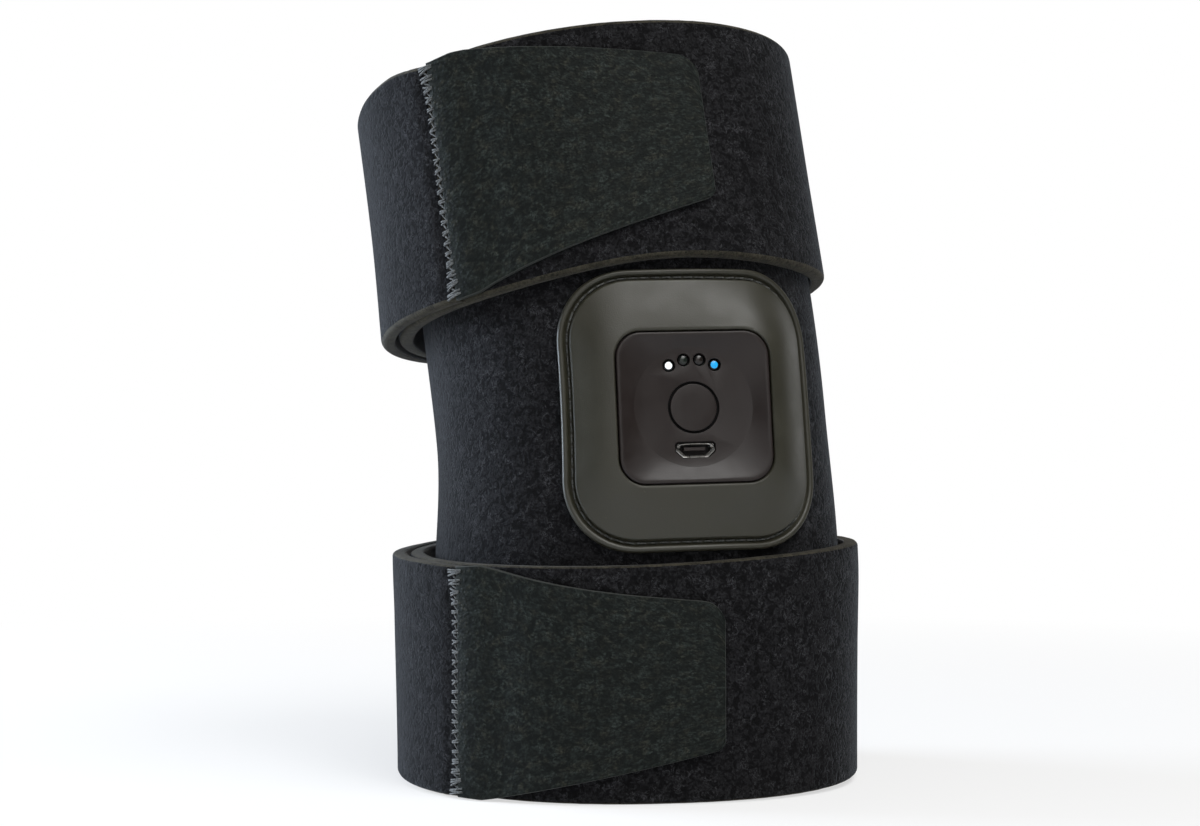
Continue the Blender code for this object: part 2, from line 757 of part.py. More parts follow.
def build_fabric(builder):
    """The panel, the straps, the tabs and the lining."""
    def panel_point(along, up):
        angle = blend(-PANEL_END, PANEL_END, along)
        return surface(angle, blend(PANEL_LOW, PANEL_HIGH, up), -PANEL_THICKNESS)

    mesh = sheet_mesh("wrap_panel", PANEL_COLUMNS, PANEL_ROWS, panel_point)
    panel = builder.place("wrap_panel", mesh, (FABRIC, 0.95, 0), None)
    thicken(panel, PANEL_THICKNESS)
    builder.join(panel, module_cutter(builder, "panel_opening"), "DIFFERENCE")
    for strap in straps():
        name = strap.name + "_strap"
        mesh = sheet_mesh(name, STRAP_COLUMNS, STRAP_ROWS, strap.point)
        item = builder.place(name, mesh, (FABRIC, 0.95, 0), None)
        thicken(item, STRAP_THICKNESS)
        name = strap.name + "_hook_tab"
        mesh = sheet_mesh(name, TAB_COLUMNS, TAB_ROWS, strap.tab_point)
        pivot = strap.hinge()[0]
        mesh.transform(Matrix.Translation(-pivot))
        item = builder.place(name, mesh, (HOOK, 0.9, 0), Matrix.Translation(pivot))
        thicken(item, TAB_THICKNESS)
    build_lining(builder)


def lining_depth():
    """Depth of the lining's outer face behind the panel's outer face."""
    depth = PANEL_THICKNESS + CLEARANCE + BAND_THICKNESS + CLEARANCE
    return depth + LEAD_THICKNESS + CLEARANCE


def build_lining(builder):
    """The soft cover that swells over the capsules and the controller's back."""
    capsule_seats = []
    for side in (-1, 1):
        into_capsule = capsule_matrix(side).inverted()
        seat = into_capsule @ rest_on_leg(side * CAPSULE_OFFSET, 0, 0)
        capsule_seats.append((into_capsule, seat.z + CAPSULE_THICKNESS))

    def point_at(along, up):
        arc = blend(-LINING_REACH, LINING_REACH, along)
        rise = blend(-LINING_TALL, LINING_TALL, up) / 2
        base = lining_depth()
        deepest = base
        for into_capsule, depth in capsule_seats:
            near = into_capsule @ rest_on_leg(arc, rise, -depth)
            away = math.hypot(near.x, near.y) - CAPSULE_RADIUS - LINING_MARGIN
            share = smooth(1 - away / LINING_FALL)
            deepest = max(deepest, blend(base, depth + CLEARANCE, share))
        beside = max(abs(arc) - MODULE_WIDTH / 2, abs(rise) - MODULE_TALL / 2)
        share = smooth(1 - (beside - LINING_MARGIN) / LINING_FALL)
        deepest = max(deepest, blend(base, MODULE_DEPTH + 2 * CLEARANCE, share))
        edge = min(LINING_REACH - abs(arc), LINING_TALL / 2 - abs(rise))
        sewn = smooth(edge / LINING_FALL)
        flat = PANEL_THICKNESS + CLEARANCE
        if edge < (LINING_TALL - BAND_TALL) / 2 - CLEARANCE:
            deepest = blend(flat, deepest, sewn)
        return rest_on_leg(arc, rise, -deepest - LINING_THICKNESS)

    mesh = sheet_mesh("lining", LINING_COLUMNS, LINING_ROWS, point_at)
    item = builder.place("lining", mesh, (LINING, 0.9, 0), None)
    thicken(item, LINING_THICKNESS)


def build_bezel(builder):
    """The silicone frame: a bead, a stitching groove and a pad up to the module."""
    outer = (BEZEL_WIDTH, BEZEL_TALL, BEZEL_CORNER)
    opening = rounded_outline(
        MODULE_WIDTH + 2 * CLEARANCE, MODULE_TALL + 2 * CLEARANCE,
        MODULE_CORNER + CLEARANCE)
    reach = 2 * (FLANGE_REACH + CLEARANCE)
    recess = rounded_outline(
        MODULE_WIDTH + reach, MODULE_TALL + reach, MODULE_CORNER + reach / 2)

    def inset(depth):
        wide, tall, corner = outer
        line = rounded_outline(wide - 2 * depth, tall - 2 * depth, corner - depth)
        return [place + Vector((BEZEL_SHIFT, 0)) for place in line]

    def on_panel(outline, height):
        ring = []
        for place in outline:
            along, rise = twisted(place)
            ring.append(frame @ rest_on_leg(along, rise, height))
        return ring

    def mixed(outline, height, plane, share):
        flat = raised(outline, plane)
        return lerp_outline(on_panel(outline, height), flat, share)

    frame = module_matrix().inverted()
    pad = inset(BEAD_WIDTH + GROOVE_WIDTH)
    under = FLANGE_THICKNESS + MODULE_BASE + CLEARANCE
    rings = [on_panel(inset(0), CLEARANCE)]
    for across, high in BEAD_PROFILE_SHARES:
        rings.append(on_panel(inset(BEAD_WIDTH * across), BEAD_HEIGHT * high))
    rings.append(on_panel(inset(BEAD_WIDTH), GROOVE_HEIGHT))
    rings.append(on_panel(pad, GROOVE_HEIGHT))
    inward, high = PAD_LIP_SHARES
    rings.append(on_panel(lerp_outline(pad, opening, inward), PAD_EDGE_HEIGHT * high))
    for inward, flat in PAD_CROWN_SHARES:
        line = lerp_outline(pad, opening, inward)
        rings.append(mixed(line, PAD_EDGE_HEIGHT, MODULE_RISE, flat))
    rings.append(raised(opening, MODULE_RISE))
    rings.append(raised(opening, under))
    rings.append(raised(recess, under))
    rings.append(on_panel(recess, CLEARANCE))
    rings.append(on_panel(lerp_outline(recess, inset(0), 1 / 2), CLEARANCE))
    mesh = loft_mesh("bezel_frame", rings, False)
    builder.place("bezel_frame", mesh, (SILICONE, 0.55, 0), builder.module)


def screw_places():
    """The four corners where the case screws stand."""
    side = MODULE_WIDTH / 2 - SCREW_INSET
    up = MODULE_TALL / 2 - SCREW_INSET
    return [(side, up), (-side, up), (-side, -up), (side, -up)]


def light_places():
    """The lights' centres, on an arc about the button."""
    places = []
    for index in range(LIGHT_COUNT):
        turned = math.radians(LIGHT_PITCH * (index - (LIGHT_COUNT - 1) / 2))
        place = (math.sin(turned) * LIGHT_ARC_RADIUS, math.cos(turned) * LIGHT_ARC_RADIUS)
        places.append(place)
    return places


def socket_outline(grow):
    """The charging socket's outline, grown all round: wide above, chamfered below."""
    half = SOCKET_WIDTH / 2 + grow
    top = SOCKET_TALL / 2 + grow - SOCKET_DROP
    bottom = -SOCKET_TALL / 2 - grow - SOCKET_DROP
    nick = SOCKET_NICK
    chamfer = SOCKET_CHAMFER
    points = (
        (half - nick, top), (-half + nick, top), (-half, top - nick),
        (-half, bottom + chamfer), (-half + chamfer, bottom),
        (half - chamfer, bottom), (half, bottom + chamfer), (half, top - nick),
    )
    return [Vector(point) for point in points]


def build_covers(builder):
    """The dished front cover and the tub behind it."""
    def outline(inset):
        return rounded_outline(
            MODULE_WIDTH - 2 * inset, MODULE_TALL - 2 * inset, MODULE_CORNER - inset)

    centre = Vector((0, DISH_UP))
    floor = circle_like(outline(0), centre, DISH_RADIUS)
    under = circle_like(outline(0), centre, DISH_RADIUS + COVER_WALL / 2)
    rim = outline(RIM_LAND)
    skirt = outline(COVER_WALL)
    foot = FLANGE_TOP + CLEARANCE
    rings = [
        raised(under, DISH_UNDER),
        *(raised(lerp_outline(skirt, under, inward), blend(DISH_UNDER, foot, down))
          for inward, down in UNDER_PROFILE_SHARES),
        raised(skirt, foot),
        raised(outline(0), foot),
        raised(outline(0), MODULE_RISE - RIM_ROUND),
        raised(outline(RIM_ROUND), MODULE_RISE),
        raised(rim, MODULE_RISE),
        *(raised(lerp_outline(rim, floor, inward), MODULE_RISE - DISH_DEPTH * down)
          for inward, down in DISH_PROFILE_SHARES),
        raised(floor, DISH_FLOOR),
    ]
    mesh = loft_mesh("front_cover", rings, True)
    front = builder.place("front_cover", mesh, (SHELL, 0.45, 0), builder.module)
    tub_rings = [
        raised(outline(COVER_WALL), TUB_INSIDE),
        raised(outline(COVER_WALL), FLANGE_TOP),
        raised(outline(-FLANGE_REACH), FLANGE_TOP),
        raised(outline(-FLANGE_REACH), MODULE_BASE),
        raised(outline(0), MODULE_BASE),
        raised(outline(0), TUB_BACK + TUB_ROUND),
        raised(outline(TUB_ROUND), TUB_BACK),
    ]
    mesh = loft_mesh("rear_cover", list(reversed(tub_rings)), True)
    rear = builder.place("rear_cover", mesh, (SHELL, 0.5, 0), builder.module)
    add_bosses(builder, front, rear)
    open_front(builder, front)


def add_bosses(builder, front, rear):
    """Stand the screw posts in both covers and bore them."""
    boss_top = (DISH_UNDER + FLANGE_TOP + CLEARANCE + COVER_WALL) / 2
    boss_foot = -BOSS_SPLIT
    seat_top = boss_foot - CLEARANCE
    head_seat = TUB_BACK + SCREW_HEAD_THICKNESS + 2 * CLEARANCE
    for index, place in enumerate(screw_places()):
        tag = str(index + 1)
        post = cylinder(
            builder, "front_post_" + tag, BOSS_RADIUS, boss_top, boss_foot, place, None,
            builder.module, SMALL_STEPS)
        builder.join(front, post, "UNION")
        seat = cylinder(
            builder, "rear_post_" + tag, SEAT_RADIUS, seat_top, TUB_BACK + TUB_FLOOR / 2,
            place, None, builder.module, SMALL_STEPS)
        builder.join(rear, seat, "UNION")
        bore = SCREW_SHANK_RADIUS + CLEARANCE
        bore_end = boss_foot + SCREW_BITE + CLEARANCE
        hole = cylinder(
            builder, "front_bore_" + tag, bore, bore_end, boss_foot - OVERRUN, place,
            None, builder.module, SMALL_STEPS)
        builder.join(front, hole, "DIFFERENCE")
        hole = cylinder(
            builder, "rear_bore_" + tag, bore, seat_top + OVERRUN, TUB_BACK - OVERRUN,
            place, None, builder.module, SMALL_STEPS)
        builder.join(rear, hole, "DIFFERENCE")
        sink = cylinder(
            builder, "rear_sink_" + tag, SCREW_HEAD_RADIUS + CLEARANCE, head_seat,
            TUB_BACK - OVERRUN, place, None, builder.module, SMALL_STEPS)
        builder.join(rear, sink, "DIFFERENCE")
        head_top = head_seat - CLEARANCE
        head_foot = head_top - SCREW_HEAD_THICKNESS
        shank_top = boss_foot + SCREW_BITE
        profile = (
            (0, shank_top), (SCREW_SHANK_RADIUS, shank_top),
            (SCREW_SHANK_RADIUS, head_top), (SCREW_HEAD_RADIUS, head_top),
            (SCREW_HEAD_RADIUS, head_foot), (0, head_foot),
        )
        shift = Matrix.Translation((place[0], place[1], 0))
        frame = module_matrix() @ shift
        turned_object(
            builder, "case_screw_" + tag, profile, (STEEL, 0.3, 1), frame, SMALL_STEPS)


def open_front(builder, front):
    """Cut the button's, lights' and socket's openings in the front cover."""
    top = MODULE_RISE + OVERRUN
    bottom = DISH_UNDER - OVERRUN
    hole = cylinder(
        builder, "button_hole", BUTTON_RADIUS + BUTTON_GAP, top, bottom, (0, 0), None,
        builder.module, ROUND_STEPS)
    builder.join(front, hole, "DIFFERENCE")
    for index, place in enumerate(light_places()):
        hole = cylinder(
            builder, "light_hole_" + str(index + 1), LIGHT_RADIUS + CLEARANCE, top,
            bottom, place, None, builder.module, SMALL_STEPS)
        builder.join(front, hole, "DIFFERENCE")
    mouth = socket_outline(CLEARANCE)
    rings = [raised(mouth, bottom), raised(mouth, top)]
    mesh = loft_mesh("socket_hole", rings, True)
    hole = builder.place("socket_hole", mesh, None, builder.module)
    builder.join(front, hole, "DIFFERENCE")


def build_inside(builder):
    """The button, lights, socket, board and cell inside the controller."""
    lip_top = DISH_UNDER - CLEARANCE
    lip_foot = lip_top - BUTTON_LIP_THICKNESS
    profile = (
        (0, DISH_FLOOR), (BUTTON_RADIUS - BUTTON_ROUND, DISH_FLOOR),
        (BUTTON_RADIUS, DISH_FLOOR - BUTTON_ROUND), (BUTTON_RADIUS, lip_top),
        (BUTTON_RADIUS + BUTTON_LIP, lip_top), (BUTTON_RADIUS + BUTTON_LIP, lip_foot),
        (0, lip_foot),
    )
    turned_object(
        builder, "power_button", profile, (SHELL, 0.4, 0), builder.module, ROUND_STEPS)
    plunger_top = lip_foot - CLEARANCE
    cylinder(
        builder, "switch_plunger", PLUNGER_RADIUS, plunger_top,
        BOARD_TOP + BUTTON_TRAVEL + CLEARANCE, (0, 0), (DARK, 0.5, 0), builder.module,
        SMALL_STEPS)
    part_foot = BOARD_TOP + CLEARANCE
    square = rounded_outline(SWITCH_SIDE, SWITCH_SIDE, SWITCH_ROUND)
    bore = round_outline(Vector((0, 0)), PLUNGER_RADIUS + CLEARANCE, SMALL_STEPS)
    plate(
        builder, "switch_body", [square, bore], part_foot + SWITCH_THICKNESS, part_foot,
        (DARK, 0.6, 0), builder.module)
    chip_top = part_foot + CHIP_THICKNESS
    for index, place in enumerate(light_places()):
        tag = str(index + 1)
        colour = (WHITE, DARK, DARK, BLUE)[index % 4]
        cylinder(
            builder, "light_lens_" + tag, LIGHT_RADIUS, DISH_FLOOR,
            chip_top + CLEARANCE, place, (colour, 0.3, 0), builder.module, SMALL_STEPS)
        box(
            builder, "light_chip_" + tag, CHIP_WIDTH, CHIP_TALL, chip_top, part_foot,
            place, (WHITE, 0.4, 0), builder.module)
    shell_top = DISH_FLOOR - SOCKET_RECESS
    plate(
        builder, "socket_shell", [socket_outline(0), socket_outline(-SOCKET_WALL)],
        shell_top, part_foot, (STEEL, 0.3, 1), builder.module)
    box(
        builder, "socket_tongue", TONGUE_WIDTH, TONGUE_TALL, shell_top - TONGUE_RECESS,
        part_foot, (0, -SOCKET_DROP + TONGUE_TALL / 2), (DARK, 0.5, 0), builder.module)
    inside_wide = MODULE_WIDTH / 2 - COVER_WALL - BOARD_EDGE_GAP
    inside_tall = MODULE_TALL / 2 - COVER_WALL - BOARD_EDGE_GAP
    board = []
    for side, up in ((1, -1), (1, 1), (-1, 1), (-1, -1)):
        across = Vector((side * (inside_wide - BOARD_CHAMFER), up * inside_tall))
        aside = Vector((side * inside_wide, up * (inside_tall - BOARD_CHAMFER)))
        board.extend((across, aside) if side * up < 0 else (aside, across))
    plate(
        builder, "circuit_board", [board], BOARD_TOP, BOARD_BACK, (BOARD, 0.5, 0),
        builder.module)
    processor_side = PROCESSOR_SIDE / 2 + PROCESSOR_INSET - inside_wide
    box(
        builder, "processor", PROCESSOR_SIDE, PROCESSOR_SIDE,
        part_foot + PROCESSOR_THICKNESS, part_foot, (processor_side, 0),
        (DARK, 0.5, 0), builder.module)
    cell = box(
        builder, "battery_cell", CELL_WIDTH, CELL_TALL, BOARD_BACK - CLEARANCE,
        TUB_INSIDE + CLEARANCE, (0, 0), (STEEL, 0.5, 0), builder.module)
    edge = cell.modifiers.new("edge", "BEVEL")
    edge.width = CELL_ROUND
    edge.segments = 2


def build_band(builder):
    """The silicone band on the panel's inner face and the leads along it."""
    behind = PANEL_THICKNESS + CLEARANCE + BAND_THICKNESS

    def band_point(along, up):
        arc = blend(-BAND_REACH, BAND_REACH, along)
        rise = blend(-BAND_TALL, BAND_TALL, up) / 2
        return rest_on_leg(arc, rise, -behind)

    mesh = sheet_mesh("actuator_band", BAND_COLUMNS, BAND_ROWS, band_point)
    band = builder.place("actuator_band", mesh, (SILICONE, 0.6, 0), None)
    thicken(band, BAND_THICKNESS)
    builder.join(band, module_cutter(builder, "band_opening"), "DIFFERENCE")
    for side, tag in ((-1, "left"), (1, "right")):
        depth = behind + CLEARANCE + LEAD_THICKNESS
        middle = side * CAPSULE_OFFSET
        ends = [
            arc_at_distance(
                module_matrix(), MODULE_WIDTH / 2 + 2 * CLEARANCE, 0, middle, depth),
            arc_at_distance(
                capsule_matrix(side), CAPSULE_RADIUS + CLEARANCE, middle, 0, depth),
        ]

        def lead_point(along, up, start=min(ends), stop=max(ends), depth=depth):
            rise = blend(-LEAD_WIDTH, LEAD_WIDTH, up) / 2
            return rest_on_leg(blend(start, stop, along), rise, -depth)

        name = "flat_lead_" + tag
        mesh = sheet_mesh(name, LEAD_COLUMNS, 1, lead_point)
        lead = builder.place(name, mesh, (DARK, 0.6, 0), None)
        thicken(lead, LEAD_THICKNESS)
        build_capsule(builder, side, tag)


def build_capsule(builder, side, tag):
    """A vibration capsule: two shells round a flat motor with an eccentric weight."""
    frame = capsule_matrix(side)
    foot = -CAPSULE_THICKNESS
    cup_top = -CAPSULE_LID - CLEARANCE
    inside = foot + CAPSULE_WALL
    bore = CAPSULE_RADIUS - CAPSULE_WALL
    lid = (
        (0, 0), (CAPSULE_RADIUS - CAPSULE_ROUND / 2, 0),
        (CAPSULE_RADIUS, -CAPSULE_ROUND / 2), (CAPSULE_RADIUS, -CAPSULE_LID),
        (0, -CAPSULE_LID),
    )
    cup = (
        (0, inside), (bore, inside), (bore, cup_top), (CAPSULE_RADIUS, cup_top),
        (CAPSULE_RADIUS, foot + CAPSULE_ROUND), (CAPSULE_RADIUS - CAPSULE_ROUND, foot),
        (0, foot),
    )
    can_foot = inside + CLEARANCE
    can_floor = can_foot + MOTOR_WALL
    can_top = cup_top - CLEARANCE
    can_bore = MOTOR_RADIUS - MOTOR_WALL
    can = (
        (0, can_floor), (can_bore, can_floor), (can_bore, can_top),
        (MOTOR_RADIUS, can_top), (MOTOR_RADIUS, can_foot), (0, can_foot),
    )
    turned_object(
        builder, "capsule_lid_" + tag, lid, (SHELL, 0.5, 0), frame, ROUND_STEPS)
    turned_object(
        builder, "capsule_cup_" + tag, cup, (SHELL, 0.5, 0), frame, ROUND_STEPS)
    turned_object(
        builder, "motor_can_" + tag, can, (STEEL, 0.3, 1), frame, ROUND_STEPS)
    shaft_foot = can_floor + CLEARANCE
    cylinder(
        builder, "motor_shaft_" + tag, SHAFT_RADIUS, can_top, shaft_foot, (0, 0),
        (STEEL, 0.2, 1), frame, SMALL_STEPS)
    weight_foot = can_floor + 2 * CLEARANCE
    hub = math.asin(HUB_RADIUS / WEIGHT_RADIUS)
    outline = []
    steps = ROUND_STEPS // 2
    for step in range(steps + 1):
        turned = blend(0, math.pi, step / steps)
        outline.append(Vector((math.cos(turned), math.sin(turned))) * WEIGHT_RADIUS)
    for step in range(steps // 2 + 1):
        turned = math.pi + math.pi * step / (steps // 2)
        outline.append(Vector((math.cos(turned), math.sin(turned))) * HUB_RADIUS)
    bore_line = round_outline(
        Vector((0, 0)), SHAFT_RADIUS + CLEARANCE, SMALL_STEPS)
    plate(
        builder, "eccentric_weight_" + tag, [outline, bore_line],
        weight_foot + WEIGHT_THICKNESS, weight_foot, (STEEL, 0.35, 1), frame)


def main():
    """Clear the scene and build every piece of the wrap."""
    for item in list(bpy.data.objects):
        bpy.data.objects.remove(item, do_unlink=True)
    builder = Builder()
    build_fabric(builder)
    build_bezel(builder)
    build_covers(builder)
    build_inside(builder)
    build_band(builder)


main()
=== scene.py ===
"""Looks of the vibrating thigh wrap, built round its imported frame.

Metres, +Z up, the wearer's front at -Y. Every soft shape follows the same leg as the
part's source does, and the controller's pieces follow the controller's own frame.
"""
import json
import logging
import math
from abc import ABC, abstractmethod
from dataclasses import dataclass
from enum import Enum
from functools import cached_property
from typing import Callable, NamedTuple, Sequence

import bmesh
import bpy
import numpy as np
from mathutils import Matrix, Vector, noise

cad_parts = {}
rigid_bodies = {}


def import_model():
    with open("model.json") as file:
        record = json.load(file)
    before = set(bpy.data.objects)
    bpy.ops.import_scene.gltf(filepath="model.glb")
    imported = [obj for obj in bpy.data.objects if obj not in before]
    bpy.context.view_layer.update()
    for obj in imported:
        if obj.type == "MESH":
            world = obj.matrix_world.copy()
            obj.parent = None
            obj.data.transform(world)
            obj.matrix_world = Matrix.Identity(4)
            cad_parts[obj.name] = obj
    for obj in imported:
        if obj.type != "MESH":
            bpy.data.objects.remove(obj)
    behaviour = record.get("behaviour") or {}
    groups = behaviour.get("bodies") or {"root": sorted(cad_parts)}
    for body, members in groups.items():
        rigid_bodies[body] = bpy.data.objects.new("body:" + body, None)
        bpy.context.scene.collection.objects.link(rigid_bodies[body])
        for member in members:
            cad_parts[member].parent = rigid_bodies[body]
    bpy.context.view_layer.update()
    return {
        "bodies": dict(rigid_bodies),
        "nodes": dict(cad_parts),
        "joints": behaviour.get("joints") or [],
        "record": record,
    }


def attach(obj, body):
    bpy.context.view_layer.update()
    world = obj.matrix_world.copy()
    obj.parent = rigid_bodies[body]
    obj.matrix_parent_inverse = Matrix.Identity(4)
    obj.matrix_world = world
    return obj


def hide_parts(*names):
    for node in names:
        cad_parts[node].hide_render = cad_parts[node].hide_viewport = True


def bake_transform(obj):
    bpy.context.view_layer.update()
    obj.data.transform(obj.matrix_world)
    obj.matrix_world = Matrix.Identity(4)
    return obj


LOG = logging.getLogger("thigh_wrap")
TURN = 360.0
RIGHT_ANGLE = math.radians(90)

Colour = tuple[float, float, float]
Place = Callable[[float, float, float], Vector]
Ring = list[Vector]
Item = bpy.types.Object
Mesh = bpy.types.Mesh


def smooth(value: float) -> float:
    """Ease a share from 0 to 1, flat at both ends."""
    held = min(max(value, 0.0), 1.0)
    return held * held * (3 - 2 * held)


def mix(start: float, end: float, share: float) -> float:
    """The value that lies a share of the way from start to end."""
    return start + (end - start) * share


def shade(colour: Colour, share: float) -> Colour:
    """A colour times a factor."""
    return tuple(value * share for value in colour)


def quarter(steps: int, first: int = 0) -> list[tuple[float, float]]:
    """How far in and down a round edge has come, in shares of its radius.

    Args:
        steps: Steps of the quarter turn.
        first: The first step to give.

    Returns:
        The shares across and down at each step.
    """
    turns = [RIGHT_ANGLE * step / steps for step in range(first, steps + 1)]
    return [(1 - math.cos(turned), 1 - math.sin(turned)) for turned in turns]


def lengths_along(points: Sequence[Vector]) -> np.ndarray:
    """The length along a line at each of its points."""
    steps = [(after - before).length for before, after in zip(points, points[1:])]
    return np.concatenate(([0], np.cumsum(steps)))


# Materials.


def operation(kind: str, swapped: bool = False) -> Callable[["Port", object], "Port"]:
    """A method that joins a port and another value by one Math node.

    Args:
        kind: The node's operation.
        swapped: Put the other value first.

    Returns:
        The method.
    """
    def join(port: "Port", other: object) -> "Port":
        """Add the node and return its result."""
        pair = (other, port) if swapped else (port, other)
        inputs = dict(enumerate(pair))
        return port.graph.add("ShaderNodeMath", {"operation": kind}, inputs)

    return join


class Port:
    """An output socket of a graph's node that takes part in sums."""

    def __init__(self, graph: "Graph", socket: bpy.types.NodeSocket) -> None:
        """Keep the graph and the socket."""
        self.graph = graph
        self.socket = socket

    __add__ = operation("ADD")
    __sub__ = operation("SUBTRACT")
    __rsub__ = operation("SUBTRACT", swapped=True)
    __mul__ = operation("MULTIPLY")
    __truediv__ = operation("DIVIDE")
    larger = operation("MAXIMUM")
    whole = operation("ABSOLUTE")

    def off(self, other: object) -> "Port":
        """How far this value is from another."""
        return (self - other).whole(0.0)


class Graph:
    """Builds the nodes of a material, a world or a geometry tree."""

    def __init__(self, tree: bpy.types.NodeTree) -> None:
        """Keep the tree."""
        self.tree = tree

    def node(
        self, kind: str, settings: dict | None = None, inputs: dict | None = None,
    ) -> bpy.types.Node:
        """Add a node.

        Args:
            kind: The node's type.
            settings: Its own settings, and "stops" for a ramp.
            inputs: Values or ports, by the sockets' names or indices.

        Returns:
            The node.
        """
        node = self.tree.nodes.new(kind)
        for key, value in (settings or {}).items():
            if key == "stops":
                self._stops(node.color_ramp, value)
            else:
                setattr(node, key, value)
        for key, value in (inputs or {}).items():
            self.feed(node.inputs[key], value)
        return node

    def add(
        self, kind: str, settings: dict | None = None, inputs: dict | None = None,
        output: int | str = 0,
    ) -> Port:
        """Add a node and return the port of one of its outputs."""
        return Port(self, self.node(kind, settings, inputs).outputs[output])

    def _stops(self, ramp: bpy.types.ColorRamp, stops: Sequence[tuple]) -> None:
        """Set a ramp's stops from pairs of place and grey value or colour."""
        while len(ramp.elements) < len(stops):
            ramp.elements.new(1.0)
        for element, (place, value) in zip(ramp.elements, stops):
            element.position = place
            colour = (value,) * 3 if isinstance(value, (int, float)) else value
            element.color = (*colour, 1)

    def feed(self, socket: bpy.types.NodeSocket, value: object) -> None:
        """Link a port to a socket, or set the socket's own value."""
        if isinstance(value, Port):
            self.tree.links.new(value.socket, socket)
        elif isinstance(value, tuple) and len(value) == 3 and socket.type == "RGBA":
            socket.default_value = (*value, 1)
        else:
            socket.default_value = value

    def place(self, source: str = "Object") -> Port:
        """The surface's own coordinates."""
        return self.add("ShaderNodeTexCoord", output=source)

    def noise(
        self, where: Port, scale: float, detail: float = 2.0, rough: float = 0.5,
        distortion: float = 0.0,
    ) -> Port:
        """A soft random value.

        Args:
            where: The coordinates.
            scale: Features a metre.
            detail: Octaves.
            rough: Strength of the finer octaves.
            distortion: How far the features curl.

        Returns:
            The value, about 0.5 on average.
        """
        inputs = {
            "Vector": where, "Scale": scale, "Detail": detail, "Roughness": rough,
            "Distortion": distortion}
        return self.add("ShaderNodeTexNoise", None, inputs, "Fac")

    def ramp(self, value: Port, *stops: tuple) -> Port:
        """Map a value through stops of place and grey value or colour."""
        return self.add("ShaderNodeValToRGB", {"stops": stops}, {0: value})

    def tint(self, share: object, first: object, second: object) -> Port:
        """A colour that is a share of the way from first to second."""
        settings = {"data_type": "RGBA"}
        inputs = {"Factor": share, 6: first, 7: second}
        return self.add("ShaderNodeMix", settings, inputs, 2)

    def bump(self, height: Port, distance: float, strength: float = 1.0) -> Port:
        """A normal bent by a height that spans a distance in metres."""
        inputs = {"Strength": strength, "Distance": distance, "Height": height}
        return self.add("ShaderNodeBump", None, inputs)

    def surface(self, **sockets: object) -> None:
        """Set the Principled shader's sockets by name, with _ for a space."""
        shader = self.tree.nodes["Principled BSDF"]
        for key, value in sockets.items():
            self.feed(shader.inputs[key.replace("_", " ")], value)


class Finish(ABC):
    """A finish that makes its material once and gives it out again after that."""

    made: dict[str, bpy.types.Material] = {}
    name: str = ""

    def material(self) -> bpy.types.Material:
        """The finish's material."""
        if self.name not in Finish.made:
            made = bpy.data.materials.new(self.name)
            made.use_nodes = True
            self.paint(Graph(made.node_tree))
            Finish.made[self.name] = made
        return Finish.made[self.name]

    @abstractmethod
    def paint(self, graph: Graph) -> None:
        """Draw the finish with a graph's nodes."""


@dataclass(frozen=True)
class Velour(Finish):
    """Brushed loop velour: near black, with curly lighter flecks and a soft sheen."""

    name: str = "velour"
    slot: str = "velour_cloth"
    dark: Colour = (0.0017, 0.0017, 0.0019)
    light: Colour = (0.036, 0.036, 0.039)

    def paint(self, graph: Graph) -> None:
        """Lay a few pale curled strands and dark pits over a fine nap."""
        where = graph.place()
        curl = graph.noise(where, 600, 2, 0.6, 1.6)
        strand = graph.ramp(curl.off(0.5), (0.0, 1.0), (0.040, 0.0))
        few = graph.ramp(graph.noise(where, 340, 2, 0.5), (0.47, 0.12), (0.62, 1.0))
        pit = graph.ramp(graph.noise(where, 620, 1, 0.5, 1.0), (0.40, 1.0), (0.52, 0.0))
        fine = graph.noise(where, 1700, 2, 0.6, 0.4)
        patch = graph.ramp(graph.noise(where, 75, 3, 0.6), (0.3, 0.6), (0.72, 1.0))
        nap = graph.ramp(fine, (0.36, 0.02), (0.68, 0.56))
        share = (strand * few * 1.15 + nap * 0.85 + 0.04) * (1 - pit * 0.80) * patch
        height = strand * few * 0.30 + fine * 0.12 - pit * 0.60
        graph.surface(
            Base_Color=graph.tint(share, self.dark, self.light), Roughness=0.95,
            Normal=graph.bump(height, 0.00060, 0.42), Specular_IOR_Level=0.10,
            Sheen_Weight=0.10, Sheen_Roughness=0.32, Sheen_Tint=(0.80, 0.88, 1.0, 1.0))


